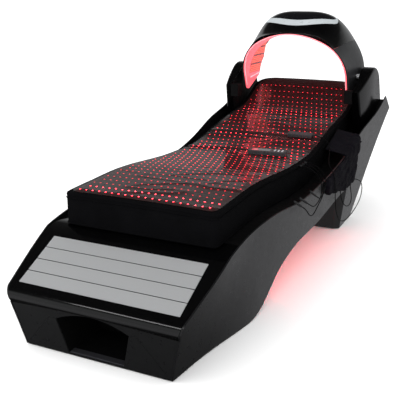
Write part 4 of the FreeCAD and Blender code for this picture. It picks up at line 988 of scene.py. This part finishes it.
def liner_front(target, angle):
    """First place along the bed where the liner is met in a direction from its centre line."""
    way = Vector((math.cos(angle), 0.0, math.sin(angle)))
    for step in range(LINER_STEPS):
        y = LINER_START + LINER_STEP * step
        hit = target.ray_cast(Vector((0.0, y, LINER_CENTRE)), way)[0]
        if hit:
            return hit - way * RIM_CLEARANCE
    return None


def tube_mesh(name, points, radius):
    """Round bar through points, with narrowed ends."""
    curve, spline = round_curve(name, "POLY", points, radius, 3)
    curve.use_fill_caps = True
    for end in (0, -1):
        spline.points[end].radius = 0.45
    mesh = plain_mesh(placed(name, curve), name)
    mesh.shade_smooth()
    return mesh


class LIGHTBED_OT_hood_lights(bpy.types.Operator):
    """Light rows, dividing bars, pill lights and the pale front rim inside the hood"""

    bl_idname = "light_bed.hood_lights"
    bl_label = "Hood Lights"

    row_step = 0.0098
    group = 5
    columns = 15
    lowest = 0.700
    front = 0.828
    back = 0.985
    lens_radius = 0.0029
    bar_radius = 0.0024
    pill_radius = 0.0028
    pill_heights = (0.668, 0.684)
    bar_steps = 40
    bar_lift = 0.0006
    rim_radius = 0.0015
    rim_setback = 0.0012
    rim_angles = np.linspace(-14.0, 194.0, 121)

    def execute(self, context):
        target = surface_tree("hood_liner")
        lens = light_lens("hood light", (1.0, 0.12, 0.06), 2.6)
        rows = context.scene.light_bed_sizes.hood_light_rows
        column_step = (self.back - self.front) / self.columns
        # The pill lights are lamps; on the front rim this same glow is painted light along the liner's edge
        pale = glowing("pale rim", (1.0, 0.38, 0.42), 1.0, (1.0, 0.50, 0.54))
        bar_metal = brushed("divider bar", (0.30, 0.26, 0.27), 0.4, (400.0, 20.0, 400.0), 0.3)
        for side, word in ((-1.0, "left"), (1.0, "right")):
            mesh = baked("hood_lights_" + word, light_field_tree(), {
                "Target": NODES["hood_liner"], "Columns": self.columns, "Rows": rows, "Group": self.group,
                "Column Step": (0.0, column_step, 0.0), "Row Step": (0.0, 0.0, self.row_step),
                "Origin": (0.0, self.front, self.lowest), "Ray": (side, 0.0, 0.0), "Stagger": 0.5,
                "Radius": self.lens_radius, "Squash": (0.4, 1.0, 1.0), "Material": lens,
            })
            new_piece("hood_lights_" + word, mesh, HOOD)
            for number in range(1, rows // self.group + 1):
                z = self.lowest + self.row_step * (self.group * number - 1)
                name = "hood_light_bar_" + word + "_" + str(number)
                self.bar(name, target, side, (z, z), self.bar_radius, bar_metal)
            name = "hood_pill_light_" + word
            self.bar(name, target, side, self.pill_heights, self.pill_radius, pale, "red_light")
        self.rim(target, pale)
        return {"FINISHED"}

    def bar(self, name, target, side, heights, radius, material, slot="bright_trim"):
        """Bar along the depth of a leg, half sunk in the liner."""
        points = []
        for step in range(self.bar_steps + 1):
            share = step / self.bar_steps
            y = self.front + share * (self.back - self.front)
            z = heights[0] + share * (heights[1] - heights[0])
            hit = target.ray_cast(Vector((0.0, y, z)), Vector((side, 0.0, 0.0)))[0]
            if hit:
                points.append(hit - Vector((side * self.bar_lift, 0.0, 0.0)))
        inner = points[1:-4] if len(points) > 12 else points
        new_piece(name, tube_mesh(name, inner, radius), HOOD, material)

    def rim(self, target, material):
        """Pale line along the liner's front edge, up one leg and down the other; its glow is painted light
        along the liner's edge.
        """
        points = []
        for angle in self.rim_angles:
            place = liner_front(target, math.radians(angle))
            if place:
                points.append(place + Vector((0.0, self.rim_setback, 0.0)))
        mesh = tube_mesh("hood_front_rim", points, self.rim_radius)
        new_piece("hood_front_rim", mesh, HOOD, material)


def lit_liner(colour, rows):
    """Hood's liner with a painted glow: its pink emission stands in for the red light of the hood's lights
    on it, dimmer on the panels behind the rows of lights.
    """
    material = glowing("liner painted glow", colour, 1.0)
    tree = material.node_tree
    strength = tree.nodes["Principled BSDF"].inputs["Emission Strength"]
    plain = strength.links[0].from_socket
    lights = LIGHTBED_OT_hood_lights
    soft = 0.004
    border = 0.010
    front = lights.front - border
    low = lights.lowest - border
    high = lights.lowest + rows * lights.row_step + soft
    inside = ramp(tree, object_axis(tree, "Y"), 0.0, 1.0, front, front + soft)
    for outer, inner in ((low, low + soft), (high, high - soft)):
        share = ramp(tree, object_axis(tree, "Z"), 0.0, 1.0, outer, inner)
        inside = math_node(tree, "MULTIPLY", inside, share)
    dimming = ramp(tree, inside, 1.0, 0.10, 0.0, 1.0)
    tree.links.new(math_node(tree, "MULTIPLY", plain, dimming), strength)
    return material


class LIGHTBED_OT_bag(bpy.types.Operator):
    """Cloth bag for the adaptors, hung over the right side, with folds and a sagging bottom"""

    bl_idname = "light_bed.bag"
    bl_label = "Cord Bag"

    fold_height = 0.0065
    crease_depth = 0.0075
    sag_depth = 0.010

    def execute(self, context):
        form = bmesh.new()
        form.from_mesh(NODES["cord_bag"].data)
        bmesh.ops.remove_doubles(form, verts=form.verts, dist=0.00002)
        mesh = bpy.data.meshes.new("cord_bag_cloth")
        form.to_mesh(mesh)
        form.free()
        carrier = placed("cord_bag_cloth", mesh)
        remesh = carrier.modifiers.new("cloth grid", "REMESH")
        remesh.mode = "VOXEL"
        remesh.voxel_size = 0.006
        smooth = carrier.modifiers.new("softening", "SMOOTH")
        smooth.factor = 0.5
        smooth.iterations = 5
        cloth_mesh = plain_mesh(carrier, "cord_bag_cloth")
        low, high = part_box("cord_bag")
        for vertex in cloth_mesh.vertices:
            place = vertex.co
            outer = clamped((place.x - low.x) / (high.x - low.x))
            fold = noise.noise((place.x * 6.0, place.y * 16.0 + place.z * 5.0, place.z * 7.0))
            slanted = (place.x * 9.0, place.y * 21.0 - place.z * 15.0, place.z * 17.0 + 3.0)
            crease = 1.0 - abs(noise.noise(slanted))
            sag = noise.noise((2.0, place.y * 28.0, 5.0)) * max(0.0, 1.0 - (place.z - low.z) / 0.05)
            relief = self.fold_height * fold - self.crease_depth * crease ** 8
            vertex.co += vertex.normal * outer * relief
            vertex.co.z += self.sag_depth * sag
        cloth_mesh.shade_smooth()
        weave = woven("bag cloth", (0.0035, 0.003, 0.0048), 300.0, 0.012)
        piece = new_piece("cord_bag_cloth", cloth_mesh, BED, weave)
        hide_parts("cord_bag")
        return {"FINISHED"}


class LIGHTBED_OT_stage(bpy.types.Operator):
    """Pale floor, soft studio light and the camera"""

    bl_idname = "light_bed.stage"
    bl_label = "Stage"

    def execute(self, context):
        scene = context.scene
        scene.view_settings.view_transform = "Standard"
        self.floor()
        self.world(scene)
        self.lights()
        self.camera(scene)
        return {"FINISHED"}

    def floor(self):
        mesh = bpy.data.meshes.new("floor")
        reach = 30.0
        corners = [(-reach, -reach, 0.0), (reach, -reach, 0.0), (reach, reach, 0.0), (-reach, reach, 0.0)]
        mesh.from_pydata(corners, [], [(0, 1, 2, 3)])
        floor = placed("floor", mesh)
        material, tree, shader = new_material("pale floor")
        cloud = noise_texture(tree, object_coordinates(tree), 1.5, 4.0)
        two_tone(tree, shader, cloud, (0.94, 0.94, 0.94), (0.96, 0.96, 0.96))
        shader.inputs["Roughness"].default_value = 0.9
        shader.inputs["Specular IOR Level"].default_value = 0.0
        mesh.materials.append(material)
        floor.visible_glossy = False

    def world(self, scene):
        """Even light on the bed; the gloss mirrors dimmer grey walls, dark above and below."""
        world = bpy.data.worlds.new("studio")
        world.use_nodes = True
        scene.world = world
        tree = world.node_tree
        background = tree.nodes["Background"]
        place = add(tree, "ShaderNodeTexCoord")
        split = add(tree, "ShaderNodeSeparateXYZ")
        tree.links.new(place.outputs["Generated"], split.inputs[0])
        walls = colour_ramp(tree, ramp(tree, split.outputs["Z"], 0.0, 1.0, -1.0, 1.0), [
            (0.0, (0.01, 0.01, 0.01)), (0.19, (0.05, 0.05, 0.05)), (0.27, (0.40, 0.40, 0.41)),
            (0.38, (0.46, 0.46, 0.47)), (0.50, (0.40, 0.40, 0.41)), (0.66, (0.42, 0.43, 0.43)),
            (0.75, (0.04, 0.04, 0.04)), (1.0, (0.008, 0.008, 0.008)),
        ])
        path = add(tree, "ShaderNodeLightPath")
        mix = add(tree, "ShaderNodeMix", data_type="RGBA")
        mix.inputs[6].default_value = (1.5, 1.5, 1.5, 1.0)
        tree.links.new(path.outputs["Is Glossy Ray"], mix.inputs[0])
        tree.links.new(walls, mix.inputs[7])
        tree.links.new(mix.outputs[2], background.inputs["Color"])

    def lights(self):
        def area(name, place, aim, size, power, glossy):
            data = bpy.data.lights.new(name, "AREA")
            data.shape = "RECTANGLE"
            data.size, data.size_y = size
            data.energy = power
            light = placed(name, data)
            light.location = place
            light.rotation_euler = (Vector(aim) - Vector(place)).to_track_quat("-Z", "Y").to_euler()
            light.visible_glossy = glossy

        area("key softbox", (-2.2, -2.6, 3.2), (0.0, -0.6, 0.3), (2.4, 2.4), 30.0, False)
        area("nose strip", (-0.6, -3.4, 2.2), (0.0, -1.1, 0.2), (2.6, 0.35), 11.0, True)

    def camera(self, scene):
        data = bpy.data.cameras.new("camera")
        data.lens = 62.0
        data.sensor_width = 36.0
        data.dof.use_dof = False
        camera = placed("camera", data)
        camera.location = (1.1424, -2.7578, 1.1405)
        camera.rotation_euler = (math.radians(72.90), 0.0, math.radians(25.69))
        scene.camera = camera


class LIGHTBED_OT_shells(bpy.types.Operator):
    """Finishes of the rigid shells, frames and fittings"""

    bl_idname = "light_bed.shells"
    bl_label = "Shells"

    def execute(self, context):
        colours = context.scene.light_bed_colours
        black = tuple(colours.gloss_black)
        grey = tuple(colours.panel_grey)
        rows = context.scene.light_bed_sizes.hood_light_rows
        gloss = moulded("gloss lacquer", black, 0.12, 300.0, 0.00005, 0.002, 0.5)
        panel = moulded("satin panel", grey, 0.30, 1400.0, 0.00008, 0.0)
        hood = moulded("satin hood", lighter(grey, 3.4), 0.34, 1400.0, 0.0001, 0.002)
        matt = moulded("matt moulding", (0.0022, 0.0022, 0.0025), 0.6, 900.0, 0.0002)
        set_socket(matt, "Specular IOR Level", 0.15)
        steel = moulded("powder coat", (0.035, 0.035, 0.038), 0.5, 500.0, 0.0003)
        tower = moulded("tower lacquer", black, 0.2, 300.0, 0.00005, 0.002)
        set_socket(tower, "Specular IOR Level", 0.24)
        strip = brushed("brushed strip", tuple(colours.strip_metal), 0.42, (4.0, 900.0, 900.0), 0.72)
        silver = moulded("silver trim", (0.52, 0.56, 0.58), 0.3, 800.0, 0.00002, 0.0)
        set_socket(silver, "Metallic", 0.25)
        bright = brushed("bright trim", (0.75, 0.76, 0.78), 0.25, (20.0, 400.0, 400.0), 0.6)
        dull = brushed("dull trim", (0.16, 0.16, 0.18), 0.35, (20.0, 400.0, 400.0))
        bronze = brushed("bush bronze", (0.45, 0.30, 0.12), 0.3, (200.0, 30.0, 30.0))
        rubber = moulded("foot rubber", (0.015, 0.015, 0.015), 0.7, 500.0, 0.0002)
        glass = moulded("dark glass", (0.004, 0.004, 0.005), 0.05, 200.0, 0.00002, 0.0, 1.0)
        board = moulded("circuit board", (0.02, 0.08, 0.04), 0.45, 800.0, 0.0002)
        case = moulded("handset case", (0.03, 0.03, 0.033), 0.4, 1200.0, 0.0001)
        key = moulded("key cap", (0.6, 0.6, 0.62), 0.4, 1200.0, 0.0001)
        glow = glowing("under light", tuple(colours.light_red), 12.0)
        # The liner gets a painted glow that stands in for the red light of the hood's lights on it
        liner = lit_liner(tuple(colours.liner_pink), rows)
        panels = ["rear_pedestal", "head_end_panel", "front_apron", "front_skirt"]
        mouldings = ["toe_recess_liner", "belly_pan", "bed_tray", "power_inlet"]
        keys = ["handset_key_" + str(number) for number in range(1, 7)]
        finishes = [
            (["foot_deck", "hood_crown"], gloss),
            (both_sides("tower_shell"), tower),
            (panels + both_sides("side_fairing") + both_sides("release_button"), panel),
            (both_sides("hood_side"), hood),
            (mouldings + both_sides("tower_panel") + both_sides("tower_block"), matt),
            (["chassis_frame"] + both_sides("tower_frame"), steel),
            (["foot_strips"], strip),
            (["hood_bezel"], silver),
            (["power_supply"] + both_sides("pivot_shaft"), bright),
            (["threshold_strip"], dull),
            (["pivot_bushes"], bronze),
            (["levelling_feet"], rubber),
            (["hood_screen", "handset_display"], glass),
            (["hood_led_boards", "hood_control_board"], board),
            (["handset_base", "handset_cover", "junction_box"], case),
            (keys, key),
            (["glow_strips"], glow),
            (["hood_liner"], liner),
        ]
        for names, finish in finishes:
            apply_finish(names, finish)
        shade_shells([name for name in NODES if name not in SOFT_NODES])
        return {"FINISHED"}


# Nodes that a soft piece stands for
SOFT_NODES = ["cushion", "light_mat", "mat_led_sheet", "mat_cover", "cord_bag"] + list(LEAD_LENGTHS)

OPERATORS = [
    LIGHTBED_OT_stage,
    LIGHTBED_OT_leads,
    LIGHTBED_OT_shells,
    LIGHTBED_OT_cushion,
    LIGHTBED_OT_light_mat,
    LIGHTBED_OT_hood_lights,
    LIGHTBED_OT_bag,
]


class LIGHTBED_PT_panel(bpy.types.Panel):
    """Lists the bed's sizes and colours and the pieces that can be made"""

    bl_idname = "LIGHTBED_PT_panel"
    bl_label = "Light Bed"
    bl_space_type = "VIEW_3D"
    bl_region_type = "UI"
    bl_category = "Light Bed"

    def draw(self, context):
        for group in (context.scene.light_bed_colours, context.scene.light_bed_sizes):
            box = self.layout.box()
            for name in group.__annotations__:
                box.prop(group, name)
        for kind in OPERATORS:
            self.layout.operator(kind.bl_idname)


CLASSES = [LightBedColours, LightBedSizes, LIGHTBED_PT_panel] + OPERATORS


def register():
    for kind in CLASSES:
        bpy.utils.register_class(kind)
    bpy.types.Scene.light_bed_colours = PointerProperty(type=LightBedColours)
    bpy.types.Scene.light_bed_sizes = PointerProperty(type=LightBedSizes)


def unregister():
    del bpy.types.Scene.light_bed_sizes
    del bpy.types.Scene.light_bed_colours
    for kind in reversed(CLASSES):
        bpy.utils.unregister_class(kind)


def main():
    register()
    bpy.ops.light_bed.stage()
    bpy.ops.light_bed.leads()
    bpy.ops.light_bed.shells()
    bpy.ops.light_bed.cushion()
    bpy.ops.light_bed.light_mat()
    bpy.ops.light_bed.hood_lights()
    bpy.ops.light_bed.bag()
    bpy.context.view_layer.update()


if __name__ == "__main__":
    main()
